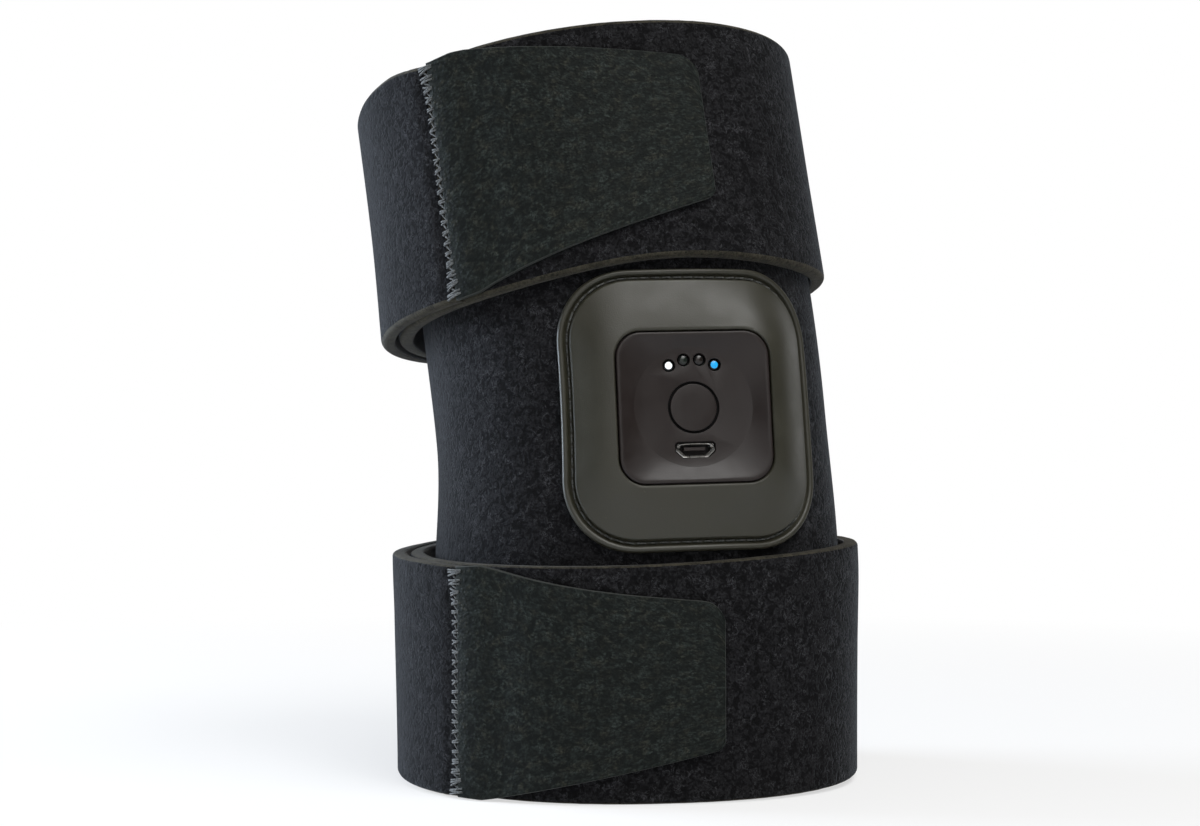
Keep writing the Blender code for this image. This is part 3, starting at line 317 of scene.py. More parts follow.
@dataclass(frozen=True)
class HookTape(Finish):
    """Moulded hook tape: very small stubs in rows on a dark greenish web."""

    name: str = "hook_tape"
    slot: str = "hook_tape"
    dark: Colour = (0.0046, 0.0060, 0.0054)
    light: Colour = (0.0330, 0.0405, 0.0365)
    warm: Colour = (0.0405, 0.0410, 0.0310)

    def paint(self, graph: Graph) -> None:
        """Raise the stubs in loose rows and tangle a little lint among them."""
        where = graph.place("UV")
        inputs = {"Vector": where, "Scale": 1150.0, "Randomness": 0.8}
        stub = graph.add("ShaderNodeTexVoronoi", {"feature": "F1"}, inputs, "Distance")
        curl = graph.noise(where, 430, 2, 0.6, 1.7)
        lint = graph.ramp(curl.off(0.5), (0.0, 1.0), (0.038, 0.0))
        few = graph.ramp(graph.noise(where, 230, 2, 0.5), (0.46, 0.1), (0.60, 1.0))
        speck = graph.noise(where, 1100, 2, 0.6)
        pale = graph.noise(where, 470, 2, 0.6, 1.0)
        blotch = graph.ramp(pale, (0.38, 0.06), (0.60, 1.0))
        warm = graph.ramp(graph.noise(where, 330, 2, 0.6), (0.46, 0.0), (0.64, 1.0))
        light = graph.tint(warm, self.light, self.warm)
        patch = graph.ramp(graph.noise(where, 110, 3, 0.6), (0.30, 0.55), (0.70, 1.0))
        top = graph.ramp(stub, (0.1, 1.0), (0.55, 0.0))
        grain = graph.ramp(speck, (0.36, 0.0), (0.68, 0.60))
        share = top * 0.45 + lint * few * 0.75 + grain
        graph.surface(
            Base_Color=graph.tint(share * blotch * patch, self.dark, light),
            Roughness=0.70, Normal=graph.bump(top * 0.6 + speck * 0.4, 0.00028, 0.7),
            Specular_IOR_Level=0.09, Sheen_Weight=0.012, Sheen_Roughness=0.5,
            Sheen_Tint=(0.85, 1.0, 0.95, 1.0))


@dataclass(frozen=True)
class TapeEdge(Finish):
    """The cut edge of the hook tape, painted paler as a thin light line: a painted
    highlight.
    """

    name: str = "tape_edge"
    slot: str = "hook_tape"

    def paint(self, graph: Graph) -> None:
        """A slightly paler web: the edge's painted highlight."""
        grain = graph.noise(graph.place(), 1500, 3, 0.6)
        colour = graph.tint(grain, (0.011, 0.013, 0.0115), (0.041, 0.045, 0.040))
        graph.surface(
            Base_Color=colour, Roughness=0.7,
            Normal=graph.bump(grain, 0.0001, 0.6), Specular_IOR_Level=0.3)


@dataclass(frozen=True)
class FoamEdge(Finish):
    """The cut edge of the foam: olive brown, dull and finely pored."""

    name: str = "foam_edge"
    slot: str = "velour_cloth"
    dark: Colour = (0.0072, 0.0064, 0.0045)
    light: Colour = (0.0440, 0.0395, 0.0275)

    def paint(self, graph: Graph) -> None:
        """Pores and the faint drag marks of the knife."""
        where = graph.place()
        pore = graph.noise(where, 1500, 3, 0.7)
        drag = graph.noise(where, 300, 3, 0.6)
        share = graph.ramp(pore * 0.6 + drag * 0.4, (0.37, 0.0), (0.60, 1.0))
        graph.surface(
            Base_Color=graph.tint(share, self.dark, self.light), Roughness=0.88,
            Normal=graph.bump(pore, 0.0002, 0.8), Specular_IOR_Level=0.15,
            Sheen_Weight=0.04, Sheen_Roughness=0.5)


@dataclass(frozen=True)
class Knit(Finish):
    """The smooth knit that faces the leg: fine wales with a slight sheen."""

    name: str = "knit"
    slot: str = "lining_cloth"
    dark: Colour = (0.007, 0.0075, 0.009)
    light: Colour = (0.030, 0.031, 0.036)

    def paint(self, graph: Graph) -> None:
        """Columns of stitches from the cloth's own map."""
        where = graph.place("UV")
        wale, course = (
            graph.add("ShaderNodeTexWave", {"bands_direction": way}, {
                "Vector": where, "Scale": scale, "Distortion": bend,
                "Detail": 1.0}, "Fac")
            for way, scale, bend in (("X", 420.0, 0.35), ("Y", 560.0, 0.8)))
        patch = graph.noise(graph.place(), 90, 3, 0.6)
        height = wale * 0.65 + course * 0.35
        share = height * graph.ramp(patch, (0.3, 0.6), (0.7, 1.0))
        graph.surface(
            Base_Color=graph.tint(share, self.dark, self.light), Roughness=0.8,
            Normal=graph.bump(height, 0.00022, 0.8), Specular_IOR_Level=0.3,
            Sheen_Weight=0.15, Sheen_Roughness=0.4)


@dataclass(frozen=True)
class Silicone(Finish):
    """Moulded silicone with a satin skin that holds a little lint."""

    name: str = "silicone"
    slot: str = "silicone"
    colour: Colour = (0.0222, 0.0208, 0.0128)
    shine: float = 0.46

    def paint(self, graph: Graph) -> None:
        """A soft mottle, a fine mould grain and a few specks."""
        where = graph.place()
        grain = graph.noise(where, 3200, 2, 0.5)
        cloud = graph.noise(where, 140, 3, 0.6)
        speck = graph.ramp(graph.noise(where, 1300, 2, 0.5), (0.70, 0.0), (0.76, 1.0))
        low, high, pale = (shade(self.colour, share) for share in (0.82, 1.16, 2.1))
        shine = graph.ramp(cloud, (0.3, self.shine - 0.05), (0.7, self.shine + 0.07))
        graph.surface(
            Base_Color=graph.tint(speck * 0.5, graph.tint(cloud, low, high), pale),
            Roughness=shine, Normal=graph.bump(grain, 0.00004, 0.7),
            Specular_IOR_Level=0.44)


@dataclass(frozen=True)
class Moulding(Finish):
    """Moulded plastic with a fine spark-eroded grain."""

    name: str = "case_plastic"
    slot: str = "case_plastic"
    colour: Colour = (0.0118, 0.0078, 0.0068)
    gloss: float = 0.31
    rough: float = 0.40
    grain_depth: float = 0.00003

    def paint(self, graph: Graph) -> None:
        """Grain, and a faint change of gloss where it is touched."""
        where = graph.place()
        grain = graph.noise(where, 4200, 2, 0.6)
        touch = graph.noise(where, 160, 3, 0.6)
        low, high = (shade(self.colour, share) for share in (0.9, 1.12))
        shine = graph.ramp(touch, (0.3, self.rough - 0.05), (0.7, self.rough + 0.06))
        graph.surface(
            Base_Color=graph.tint(touch, low, high), Roughness=shine,
            Normal=graph.bump(grain, self.grain_depth, 0.6),
            Specular_IOR_Level=self.gloss)


@dataclass(frozen=True)
class Thread(Finish):
    """Twisted polyester thread."""

    name: str = "seam_thread"
    slot: str = "hook_tape"
    colour: Colour = (0.105, 0.108, 0.104)

    def paint(self, graph: Graph) -> None:
        """Ply marks as a change of shade."""
        ply = graph.noise(graph.place(), 1900, 3, 0.75)
        mark = graph.ramp(ply, (0.36, 0.0), (0.62, 1.0))
        graph.surface(
            Base_Color=graph.tint(mark, shade(self.colour, 0.12), self.colour),
            Roughness=0.6, Normal=graph.bump(ply, 0.00008, 0.8),
            Specular_IOR_Level=0.3, Sheen_Weight=0.05)


@dataclass(frozen=True)
class Lens(Finish):
    """An indicator's lens, lit or dark."""

    name: str = "lens"
    slot: str = "lens_dark"
    colour: Colour = (0.01, 0.01, 0.011)
    glow: Colour = (0.0, 0.0, 0.0)
    strength: float = 0.0

    def paint(self, graph: Graph) -> None:
        """A glossy drop with a soft glow where it is lit."""
        cloud = graph.noise(graph.place(), 900, 2, 0.5)
        colour = graph.tint(cloud, shade(self.colour, 0.85), self.colour)
        graph.surface(
            Base_Color=colour, Roughness=0.15, Emission_Color=(*self.glow, 1),
            Emission_Strength=self.strength, Specular_IOR_Level=0.34)


@dataclass(frozen=True)
class Metal(Finish):
    """Formed sheet metal with rolling marks."""

    name: str = "bright_metal"
    slot: str = "bright_metal"
    colour: Colour = (0.72, 0.70, 0.66)
    rough: float = 0.24

    def paint(self, graph: Graph) -> None:
        """Fine marks in colour, gloss and height."""
        marks = graph.noise(graph.place(), 1400, 4, 0.65)
        shine = graph.ramp(marks, (0.3, self.rough - 0.06), (0.7, self.rough + 0.12))
        graph.surface(
            Base_Color=graph.tint(marks, shade(self.colour, 0.72), self.colour),
            Metallic=1.0, Roughness=shine, Normal=graph.bump(marks, 0.00002, 0.5))

@dataclass(frozen=True)
class BoardLacquer(Finish):
    """The circuit board's green lacquer over its tracks."""

    name: str = "board_green"
    slot: str = "board_green"

    def paint(self, graph: Graph) -> None:
        """Tracks as straight-edged cells under the lacquer."""
        where = graph.place()
        settings = {"feature": "F1", "distance": "CHEBYCHEV"}
        inputs = {"Vector": where, "Scale": 420.0, "Randomness": 0.8}
        cells = graph.add("ShaderNodeTexVoronoi", settings, inputs, "Distance")
        track = graph.ramp(cells, (0.30, 0.0), (0.36, 1.0))
        colour = graph.tint(track, (0.006, 0.040, 0.020), (0.016, 0.085, 0.042))
        graph.surface(
            Base_Color=colour, Roughness=0.32,
            Normal=graph.bump(track, 0.00005, 0.6), Coat_Weight=0.3)


# The leg and what is wound on it.


@dataclass(frozen=True)
class Leg:
    """The leg that the wrap is wound on: a rounded section along a bent spine."""

    half_width_foot: float = 0.0496
    half_width_top: float = 0.0480
    half_depth_foot: float = 0.0466
    half_depth_top: float = 0.0462
    exponent: float = 2.4
    bend_low: float = 0.048
    bend_high: float = 0.113
    lean: float = math.radians(12.3)
    heading: float = math.radians(30.5)
    foot: tuple[float, float] = (0.00687, -0.00830)
    module_height: float = 0.085659
    module_side: float = 0.0055
    module_twist: float = math.radians(-2.3)
    ripple: float = 0.00042
    ripple_length: float = 0.036
    ripple_stretch: float = 0.8
    ripple_gain: float = 1.6
    calm_arc: float = 0.076
    calm_rise: float = 0.031
    calm_fall: float = 0.022
    arc_steps: int = 481
    probe: float = 0.0036

    def spine(self, height: float) -> tuple[Vector, Vector, Vector, Vector]:
        """The frame at a length along the spine.

        Args:
            height: Length along the spine from the floor.

        Returns:
            The origin, and the directions right, back and up.
        """
        radius = (self.bend_high - self.bend_low) / self.lean
        way = Vector((-math.sin(self.heading), math.cos(self.heading), 0))
        run = self.bend_high - self.bend_low
        turned = self.lean * min(max((height - self.bend_low) / run, 0), 1)
        straight = max(height - self.bend_high, 0)
        aside = radius * (1 - math.cos(turned)) + straight * math.sin(turned)
        rise = min(height, self.bend_low) + radius * math.sin(turned)
        rise += straight * math.cos(turned)
        origin = Vector((*self.foot, 0)) + way * aside + Vector((0, 0, rise))
        turn = Matrix.Rotation(turned, 3, Vector((0, 0, 1)).cross(way))
        return origin, turn.col[0], turn.col[1], turn.col[2]

    def section(
        self, angle: float, height: float, stand_off: float,
    ) -> tuple[Vector, Vector]:
        """A point of the leg's section.

        Args:
            angle: Degrees round the leg from the front.
            height: Length along the spine.
            stand_off: Distance from the panel's outer face.

        Returns:
            The point and its outward direction, both in the section.
        """
        run = self.module_height - self.bend_low
        share = smooth((height - self.bend_low) / run)
        wide = mix(self.half_width_foot, self.half_width_top, share)
        deep = mix(self.half_depth_foot, self.half_depth_top, share)
        side = math.sin(math.radians(angle))
        back = -math.cos(math.radians(angle))
        power = self.exponent
        reach = (abs(side / wide) ** power + abs(back / deep) ** power) ** (-1 / power)
        point = Vector((reach * side, reach * back))
        across = math.copysign(abs(point.x / wide) ** (power - 1) / wide, side)
        along = math.copysign(abs(point.y / deep) ** (power - 1) / deep, back)
        outward = Vector((across, along)).normalized()
        return point + outward * stand_off, outward

    def rippled(self, angle: float, height: float) -> float:
        """The cloth's soft unevenness, nil round the controller and the band."""
        arc = abs(self.arc_of(angle))
        rise = abs(height - self.module_height)
        away = max(arc - self.calm_arc, rise - self.calm_rise) / self.calm_fall
        if away <= 0:
            return 0.0
        turned = math.radians(angle)
        reach = self.half_width_top / self.ripple_length
        where = Vector((
            math.sin(turned) * reach, math.cos(turned) * reach,
            height / self.ripple_length * self.ripple_stretch))
        return self.ripple * noise.noise(where) * self.ripple_gain * smooth(away)

    def surface(
        self, angle: float, height: float, stand_off: float, even: bool = False,
    ) -> Vector:
        """A point at a stand-off from the panel's outer face.

        Args:
            angle: Degrees round the leg from the front.
            height: Length along the spine.
            stand_off: Distance from the panel's outer face.
            even: Leave out the cloth's unevenness.

        Returns:
            The point.
        """
        origin, right, back, _ = self.spine(height)
        if not even:
            stand_off += self.rippled(angle, height)
        place, _ = self.section(angle, height, stand_off)
        return origin + right * place.x + back * place.y

    @cached_property
    def arcs(self) -> tuple[np.ndarray, np.ndarray]:
        """Angles over the front, and lengths along the panel from the controller."""
        angles = np.linspace(-TURN / 3, TURN / 3, self.arc_steps)
        lengths = lengths_along(
            [self.section(angle, self.module_height, 0)[0] for angle in angles])
        middle = math.degrees(math.asin(self.module_side / self.half_depth_top))
        return angles, lengths - np.interp(middle, angles, lengths)

    def arc_of(self, angle: float) -> float:
        """The length along the panel from the controller at an angle."""
        turned = (angle + TURN / 2) % TURN - TURN / 2
        angles, lengths = self.arcs
        return float(np.interp(turned, angles, lengths))

    def angle_at(self, arc: float) -> float:
        """The angle at a length along the panel from the controller's middle."""
        angles, lengths = self.arcs
        return float(np.interp(arc, lengths, angles))

    def on_panel(self, arc: float, rise: float, stand_off: float) -> Vector:
        """A point at a length along and up the panel from the controller's middle."""
        angle = self.angle_at(arc)
        low = self.surface(angle, self.module_height - self.probe, 0, even=True)
        high = self.surface(angle, self.module_height + self.probe, 0, even=True)
        stretch = (high - low).length / (2 * self.probe)
        return self.surface(angle, self.module_height + rise / stretch, stand_off)

    @cached_property
    def module(self) -> Matrix:
        """The controller's frame: right, up and outward from the panel's face."""
        _, right, back, up = self.spine(self.module_height)
        base = self.surface(self.angle_at(0), self.module_height, 0, even=True)
        turn = Matrix.Rotation(self.module_twist, 3, -back)
        axes = Matrix((turn @ right, turn @ up, -back)).transposed()
        return Matrix.Translation(base) @ axes.to_4x4()

    def twisted(self, place: Vector) -> tuple[float, float]:
        """Turn a place on the controller's face into lengths along and up the panel."""
        turned = self.module_twist
        along = place.x * math.cos(turned) - place.y * math.sin(turned)
        return along, place.x * math.sin(turned) + place.y * math.cos(turned)


class Layer(Enum):
    """The layers of a laminate, in the order of its materials."""

    FACE = 0
    CORE = 1
    BACK = 2


@dataclass(frozen=True)
class Laminate:
    """A cut sheet with a face, a core that shows at its edges, and a back.

    The face's points are placed by shares along and up the sheet and a height over
    its back, and along crossed with up points outward.
    """

    name: str
    columns: Sequence[float]
    rows: Sequence[float]
    place: Place
    length: float
    width: float
    thickness: float
    finishes: tuple[Finish, Finish, Finish]
    face_round: float = 0.0010
    back_round: float = 0.0005
    face_share: float = 0.55
    rag: float = 0.00006
    rag_grain: float = 900.0
    round_steps: int = 5

    def profile(self) -> list[tuple[float, float, Layer]]:
        """The edge from face to back.

        Returns:
            Each ring's inset, its height over the back, and the layer that the band
            before it shows.
        """
        rings = []
        for step, (drop, inset) in enumerate(quarter(self.round_steps, 1), 1):
            faced = step <= self.face_share * self.round_steps
            height = self.thickness - self.face_round * drop
            shown = Layer.FACE if faced else Layer.CORE
            rings.append((self.face_round * inset, height, shown))
        middle = (self.thickness - self.face_round + self.back_round) / 2
        rings.append((0.0, middle, Layer.CORE))
        shows = (Layer.CORE, Layer.CORE, Layer.BACK)
        for (inset, height), shown in zip(quarter(len(shows)), shows):
            rings.append((self.back_round * inset, self.back_round * height, shown))
        return rings

    def at(self, along: float, up: float, inset: float, height: float) -> Vector:
        """A point at shares along and up a sheet that is inset all round."""
        side = inset / self.length
        edge = inset / self.width
        return self.place(
            side + along * (1 - 2 * side), edge + up * (1 - 2 * edge), height)

    def border(self) -> list[tuple[int, int]]:
        """Columns and rows round the sheet, counter-clockwise seen from outside."""
        last, top = len(self.columns) - 1, len(self.rows) - 1
        loop = [(i, 0) for i in range(last)]
        loop += [(last, j) for j in range(top)]
        loop += [(i, top) for i in range(last, 0, -1)]
        loop += [(0, j) for j in range(top, 0, -1)]
        return loop

    def mesh(self) -> Mesh:
        """Build the closed mesh with its materials and its map in metres."""
        wide, tall = len(self.columns), len(self.rows)
        grid = [(i, j) for j in range(tall) for i in range(wide)]
        rings = self.profile()
        border = self.border()
        points: list[Vector] = []
        flat: list[tuple[float, float]] = []

        def put(i: int, j: int, inset: float, height: float, rag: float = 0.0) -> None:
            """Add one point and its place on the map."""
            along, up = self.columns[i], self.rows[j]
            spot = (along * self.length, up * self.width)
            if rag:
                inset += rag * noise.noise(Vector((*spot, height * 2)) * self.rag_grain)
            points.append(self.at(along, up, inset, height))
            flat.append(spot)

        for i, j in grid:
            put(i, j, self.face_round, self.thickness)
        for inset, height, _ in rings:
            for i, j in border:
                put(i, j, inset, height, self.rag)
        back = len(points)
        for i, j in grid:
            put(i, j, self.back_round, 0.0)
        faces: list[tuple[int, ...]] = []
        layers: list[int] = []
        for j in range(tall - 1):
            for i in range(wide - 1):
                a = j * wide + i
                b = back + a
                faces.append((a, a + 1, a + wide + 1, a + wide))
                faces.append((b, b + wide, b + wide + 1, b + 1))
                layers += [Layer.FACE.value, Layer.BACK.value]
        count = len(border)
        loops = [[j * wide + i for i, j in border]]
        loops += [list(range(start, start + count)) for start in range(
            wide * tall, back, count)]
        loops.append([back + corner for corner in loops[0]])
        bands = [shown for _, _, shown in rings] + [Layer.BACK]
        for before, after, shown in zip(loops, loops[1:], bands):
            for k in range(count):
                n = (k + 1) % count
                faces.append((after[k], after[n], before[n], before[k]))
                layers.append(shown.value)
        data = bpy.data.meshes.new(self.name)
        data.from_pydata(points, [], faces)
        data.polygons.foreach_set("material_index", layers)
        data.shade_smooth()
        map_ = data.uv_layers.new(name="cloth")
        corners = np.empty(len(data.loops), dtype=np.int32)
        data.loops.foreach_get("vertex_index", corners)
        map_.data.foreach_set("uv", np.array(flat)[corners].ravel())
        for finish in self.finishes:
            data.materials.append(finish.material())
        return data

    def build(self) -> Item:
        """Put the sheet in the scene."""
        return put_in_scene(self.mesh())


def put_in_scene(data: Mesh) -> Item:
    """Link a mesh to the scene under its own name."""
    item = bpy.data.objects.new(data.name, data)
    bpy.context.scene.collection.objects.link(item)
    return item


def ride(item: Item, finish: Finish, node: str = "", body: str = "wrap") -> Item:
    """Let a piece ride a body, in place of a node if named."""
    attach(item, body)
    if node:
        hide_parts(node)
    return item


def crowded(count: int, fine: int, share: float) -> list[float]:
    """Shares from 0 to 1 that stand closer together near 1.

    Args:
        count: Steps before the close ones.
        fine: Close steps.
        share: The part of the whole that the close steps cover.

    Returns:
        The shares in order.
    """
    coarse = np.linspace(0, 1 - share, count + 1)
    close = np.linspace(1 - share, 1, fine + 1)[1:]
    return [float(value) for value in np.concatenate((coarse, close))]


@dataclass(frozen=True)
class Case:
    """The controller's case, whose outline the pieces round it follow."""

    wide: float = 0.0363
    tall: float = 0.0352
    corner: float = 0.0060
    rise: float = 0.0036

    def outline(self, grow: float, corner_steps: int, side_steps: int) -> Ring:
        """The outline, grown all round or inset if the growth is negative."""
        return rounded_outline(
            self.wide + 2 * grow, self.tall + 2 * grow, self.corner + grow,
            corner_steps, side_steps)


CASE = Case()


@dataclass
class WrapPanel:
    """The middle panel, opened for the controller."""

    leg: Leg
    low: float = 0.0030
    high: float = 0.168018
    end: float = 165.0
    mean_radius: float = 0.0495
    thickness: float = 0.0035
    columns: int = 150
    rows: int = 84
    opening_gap: float = 0.0008
    cut_heights: tuple[float, float] = (-0.012, 0.006)

    def place(self, along: float, up: float, height: float) -> Vector:
        """A point of the panel at a height over its inner face."""
        angle = mix(-self.end, self.end, along)
        rise = mix(self.low, self.high, up)
        return self.leg.surface(angle, rise, height - self.thickness)

    def build(self) -> Item:
        """Make the panel, cut its opening and set its rider."""
        length = 2 * math.radians(self.end) * self.mean_radius
        item = Laminate(
            "panel_cloth", np.linspace(0, 1, self.columns),
            np.linspace(0, 1, self.rows), self.place, length, self.high - self.low,
            self.thickness, (Velour(), FoamEdge(), Knit())).build()
        outline = CASE.outline(self.opening_gap, 8, 6)
        ends = [raised(outline, height) for height in self.cut_heights]
        cutter = loft("panel_cutter", ends)
        cutter.transform(self.leg.module)
        cut(item, [put_in_scene(cutter)])
        ride(item, Velour(), "wrap_panel")
        return item


class Swell(NamedTuple):
    """A smooth local change of an edge's height round the leg."""

    most: float
    heading: float
    focus: int

    def at(self, angle: float) -> float:
        """The change at an angle in degrees."""
        near = (1 + math.cos(math.radians(angle - self.heading))) / 2
        return self.most * near ** self.focus


@dataclass
class StrapCut:
    """One strap's place, laps and stand-offs, as in the part's source, and its tab."""

    leg: Leg
    name: str
    low: float
    width: float
    end: float
    gaps: tuple[float, float, float, float]
    flare: float
    flare_up: bool
    rises: tuple[float, float, float]
    heading: float
    tip_drop: float
    lifts: tuple[Swell, ...]
    crests: tuple[Swell, ...]
    end_dip: float
    hollows: tuple[float, float]
    thickness: float = 0.0035
    panel_end: float = 165.0
    clearance: float = 0.0003
    cloth_gap: float = 0.0004
    lap_share: float = 0.8
    flare_spread: float = 70.0
    rise_focus: int = 8
    side_focus: int = 3
    dip_reach: float = 0.011
    end_gap: float = 0.0006
    tab_thickness: float = 0.0015
    lift_run: float = 0.0120
    tab_length: float = 0.0640
    tab_tip: float = 0.0345
    square_run: float = 0.0060
    tab_corner: float = 0.0050
    low_corner: float = 0.0023
    settle: float = 0.0130
    edge_round: float = 0.0010
    face_share: float = 0.55
    hollow_scale: float = 5.66
    hollow_power: float = 1.6
    hollow_area: float = 0.605
    length_steps: int = 240
    tab_steps: int = 181

    @cached_property
    def start(self) -> float:
        """The angle at which the strap butts against the panel's end."""
        return self.panel_end + math.degrees(self.clearance / self.leg.half_depth_foot)

    @cached_property
    def length(self) -> float:
        """The strap's length along its middle."""
        shares = [step / self.length_steps for step in range(self.length_steps + 1)]
        middle = [self.point(share, 0.5, self.thickness / 2) for share in shares]
        return float(lengths_along(middle)[-1])

    @property
    def tab_area(self) -> float:
        """The tab's flat area."""
        run = self.tab_length - self.square_run
        taper = (self.width + self.tab_tip) / 2 * run
        corners = (1 - math.pi / 4) * (self.tab_corner ** 2 + self.low_corner ** 2)
        hollow = sum(self.hollows) * self.hollow_area * run
        return self.width * self.square_run + taper - corners - hollow

    @cached_property
    def tab_table(self) -> tuple[np.ndarray, np.ndarray]:
        """Lengths along the tab and the angles that they reach."""
        angles = np.linspace(self.end, self.end + TURN / 3, self.tab_steps)
        points = []
        for angle in angles:
            rest = self.tab_stand_off(angle, self.tab_length, 0)
            points.append(self.leg.section(angle, self.height(0, angle), rest)[0])
        return lengths_along(points), angles

    def first_lap(self, angle: float) -> float:
        """Stand-off of the inner face where the strap lies on the panel."""
        rise = (TURN - 2 * self.panel_end) * self.lap_share
        left, front, right, _ = self.gaps
        keys = (
            (self.start, -self.thickness), (self.panel_end + rise, self.cloth_gap),
            (TURN * 3 / 4, left), (TURN, front), (TURN * 5 / 4, right),
            (self.panel_end + TURN, self.cloth_gap))
        for (before, low), (after, high) in zip(keys, keys[1:]):
            if angle <= after:
                return mix(low, high, smooth((angle - before) / (after - before)))
        return keys[-1][1]

    def flared(self, angle: float, share: float) -> float:
        """How far the free edge at the left stands out."""
        away = abs((angle - TURN * 3 / 4 + TURN / 2) % TURN - TURN / 2)
        up = share if self.flare_up else 1 - share
        return self.flare * smooth(1 - away / self.flare_spread) * up * up

    def stand_off(self, angle: float, share: float) -> float:
        """Stand-off of the strap's inner face at a share of its width."""
        second = self.panel_end + TURN
        if angle <= second:
            return self.first_lap(angle) + self.flared(angle, share)
        under = self.first_lap(angle - TURN) + self.flared(angle, share)
        left = TURN * 7 / 4
        layer = self.gaps[3]
        if angle < left:
            gap = mix(self.cloth_gap, layer, smooth((angle - second) / (left - second)))
        else:
            gap = mix(layer, self.end_gap, smooth((angle - left) / (self.end - left)))
        return under + self.thickness + gap

    def tab_stand_off(self, angle: float, along: float, share: float) -> float:
        """Stand-off of the tab's inner face: flush at the seam, then on the strap."""
        flush = self.stand_off(self.end, share) + self.thickness - self.tab_thickness
        lap = self.first_lap(angle - TURN) + self.flared(angle, share)
        rest = lap + self.thickness + self.cloth_gap
        return mix(max(flush, rest), rest, smooth(along / self.settle))

    def height(self, share: float, angle: float) -> float:
        """Length along the spine at a share of the strap's width."""
        behind = (1 - math.cos(math.radians(angle))) / 2
        beside = (1 + math.cos(math.radians(angle - self.heading))) / 2
        back_rise, front_rise, side_rise = self.rises
        rise = back_rise * behind ** 2 + front_rise * (1 - behind) ** self.rise_focus
        rise += side_rise * beside ** self.side_focus
        rise += sum(swell.at(angle) for swell in self.crests)
        away = math.radians(abs(angle - self.end)) * self.leg.half_depth_top
        rise -= self.dip(away)
        return self.low + (self.width + rise) * share + self.lift(angle) * (1 - share)

    def dip(self, away: float) -> float:
        """How far the seam pulls the top edge down at a distance from it."""
        return self.end_dip * (1 - smooth(away / self.dip_reach))

    def lift(self, angle: float) -> float:
        """How far the low edge lies over its level."""
        return sum(swell.at(angle) for swell in self.lifts)

    def turn(self, along: float, radius: float) -> float:
        """How much a rounded corner takes off the tab's side near its tip."""
        past = min(max(along - (self.tab_length - radius), 0), radius)
        return radius - math.sqrt(radius ** 2 - past ** 2)

    def point(self, along: float, up: float, height: float) -> Vector:
        """A point of the strap at a height over its inner face."""
        angle = mix(self.start, self.end, along)
        rise = self.height(up, angle)
        return self.leg.surface(angle, rise, self.stand_off(angle, up) + height)

    def tab_angle(self, along: float) -> float:
        """The angle that a length along the tab reaches."""
        reach = along + self.clearance
        if reach < 0:
            return self.end + math.degrees(reach / self.leg.half_depth_top)
        lengths, angles = self.tab_table
        return float(np.interp(reach, lengths, angles))

    def tab_at(self, along: float, up: float, height: float) -> Vector:
        """A point of the tab at a length along it and a share of its tapered width."""
        angle = self.tab_angle(along)
        taper = max(along - self.square_run, 0) / (self.tab_length - self.square_run)
        loss = (self.width - self.tab_tip) * taper
        seam_top = self.height(1, self.end) - self.low + self.end_dip
        hollow = self.hollow_scale * taper * max(1 - taper, 0.0) ** self.hollow_power
        over, under = self.hollows
        top = mix(seam_top, self.width, taper) - loss * self.tip_drop
        top -= self.turn(along, self.tab_corner) + self.dip(along) + over * hollow
        bottom = loss * (1 - self.tip_drop) + self.turn(along, self.low_corner)
        bottom += self.lift(self.end) * (1 - smooth(min(1, along / self.lift_run)))
        bottom += under * hollow
        share = mix(bottom, top, up) / self.width
        rest = self.tab_stand_off(angle, along, share)
        return self.leg.surface(angle, self.low + self.width * share, rest + height)

    def seam_at(self, along: float, up: float, height: float) -> Vector:
        """A point near the seam: a length past the strap's end, a share up, a height
        over the outer face."""
        angle = self.end + math.degrees(along / self.leg.half_depth_top)
        rise = self.height(up, self.end)
        flush = self.stand_off(self.end, up) + self.thickness
        return self.leg.surface(angle, rise, flush + height)


def lower_cut(leg: Leg) -> StrapCut:
    """The lower strap's sizes."""
    return StrapCut(
        leg, "lower", 0.0, 0.0555, 664.2, (0.0014, 0.0012, 0.0014, 0.0010), 0.0015,
        True, (0.0028, 0.0, 0.0015), 80.0, 0.430,
        (Swell(0.0006, -88.0, 4), Swell(0.0019, 92.0, 4)),
        (Swell(-0.0016, -18.0, 3), Swell(0.0020, -150.0, 24)), 0.0004, (0.0015, 0.0),
        tab_length=0.0628, tab_tip=0.0335)


def upper_cut(leg: Leg) -> StrapCut:
    """The upper strap's sizes."""
    return StrapCut(
        leg, "upper", 0.115818, 0.0568, 669.3, (0.0019, 0.0008, 0.0005, 0.0011), 0.0010,
        False, (0.0, 0.0022, 0.0012), -60.0, 0.352,
        (Swell(0.0019, 3.0, 12), Swell(-0.0014, -54.0, 10), Swell(-0.0006, -130.0, 6),
         Swell(-0.0019, 56.0, 10)),
        (), 0.0015, (0.0, 0.0005), tab_tip=0.0341, edge_round=0.0014, face_share=0.35)


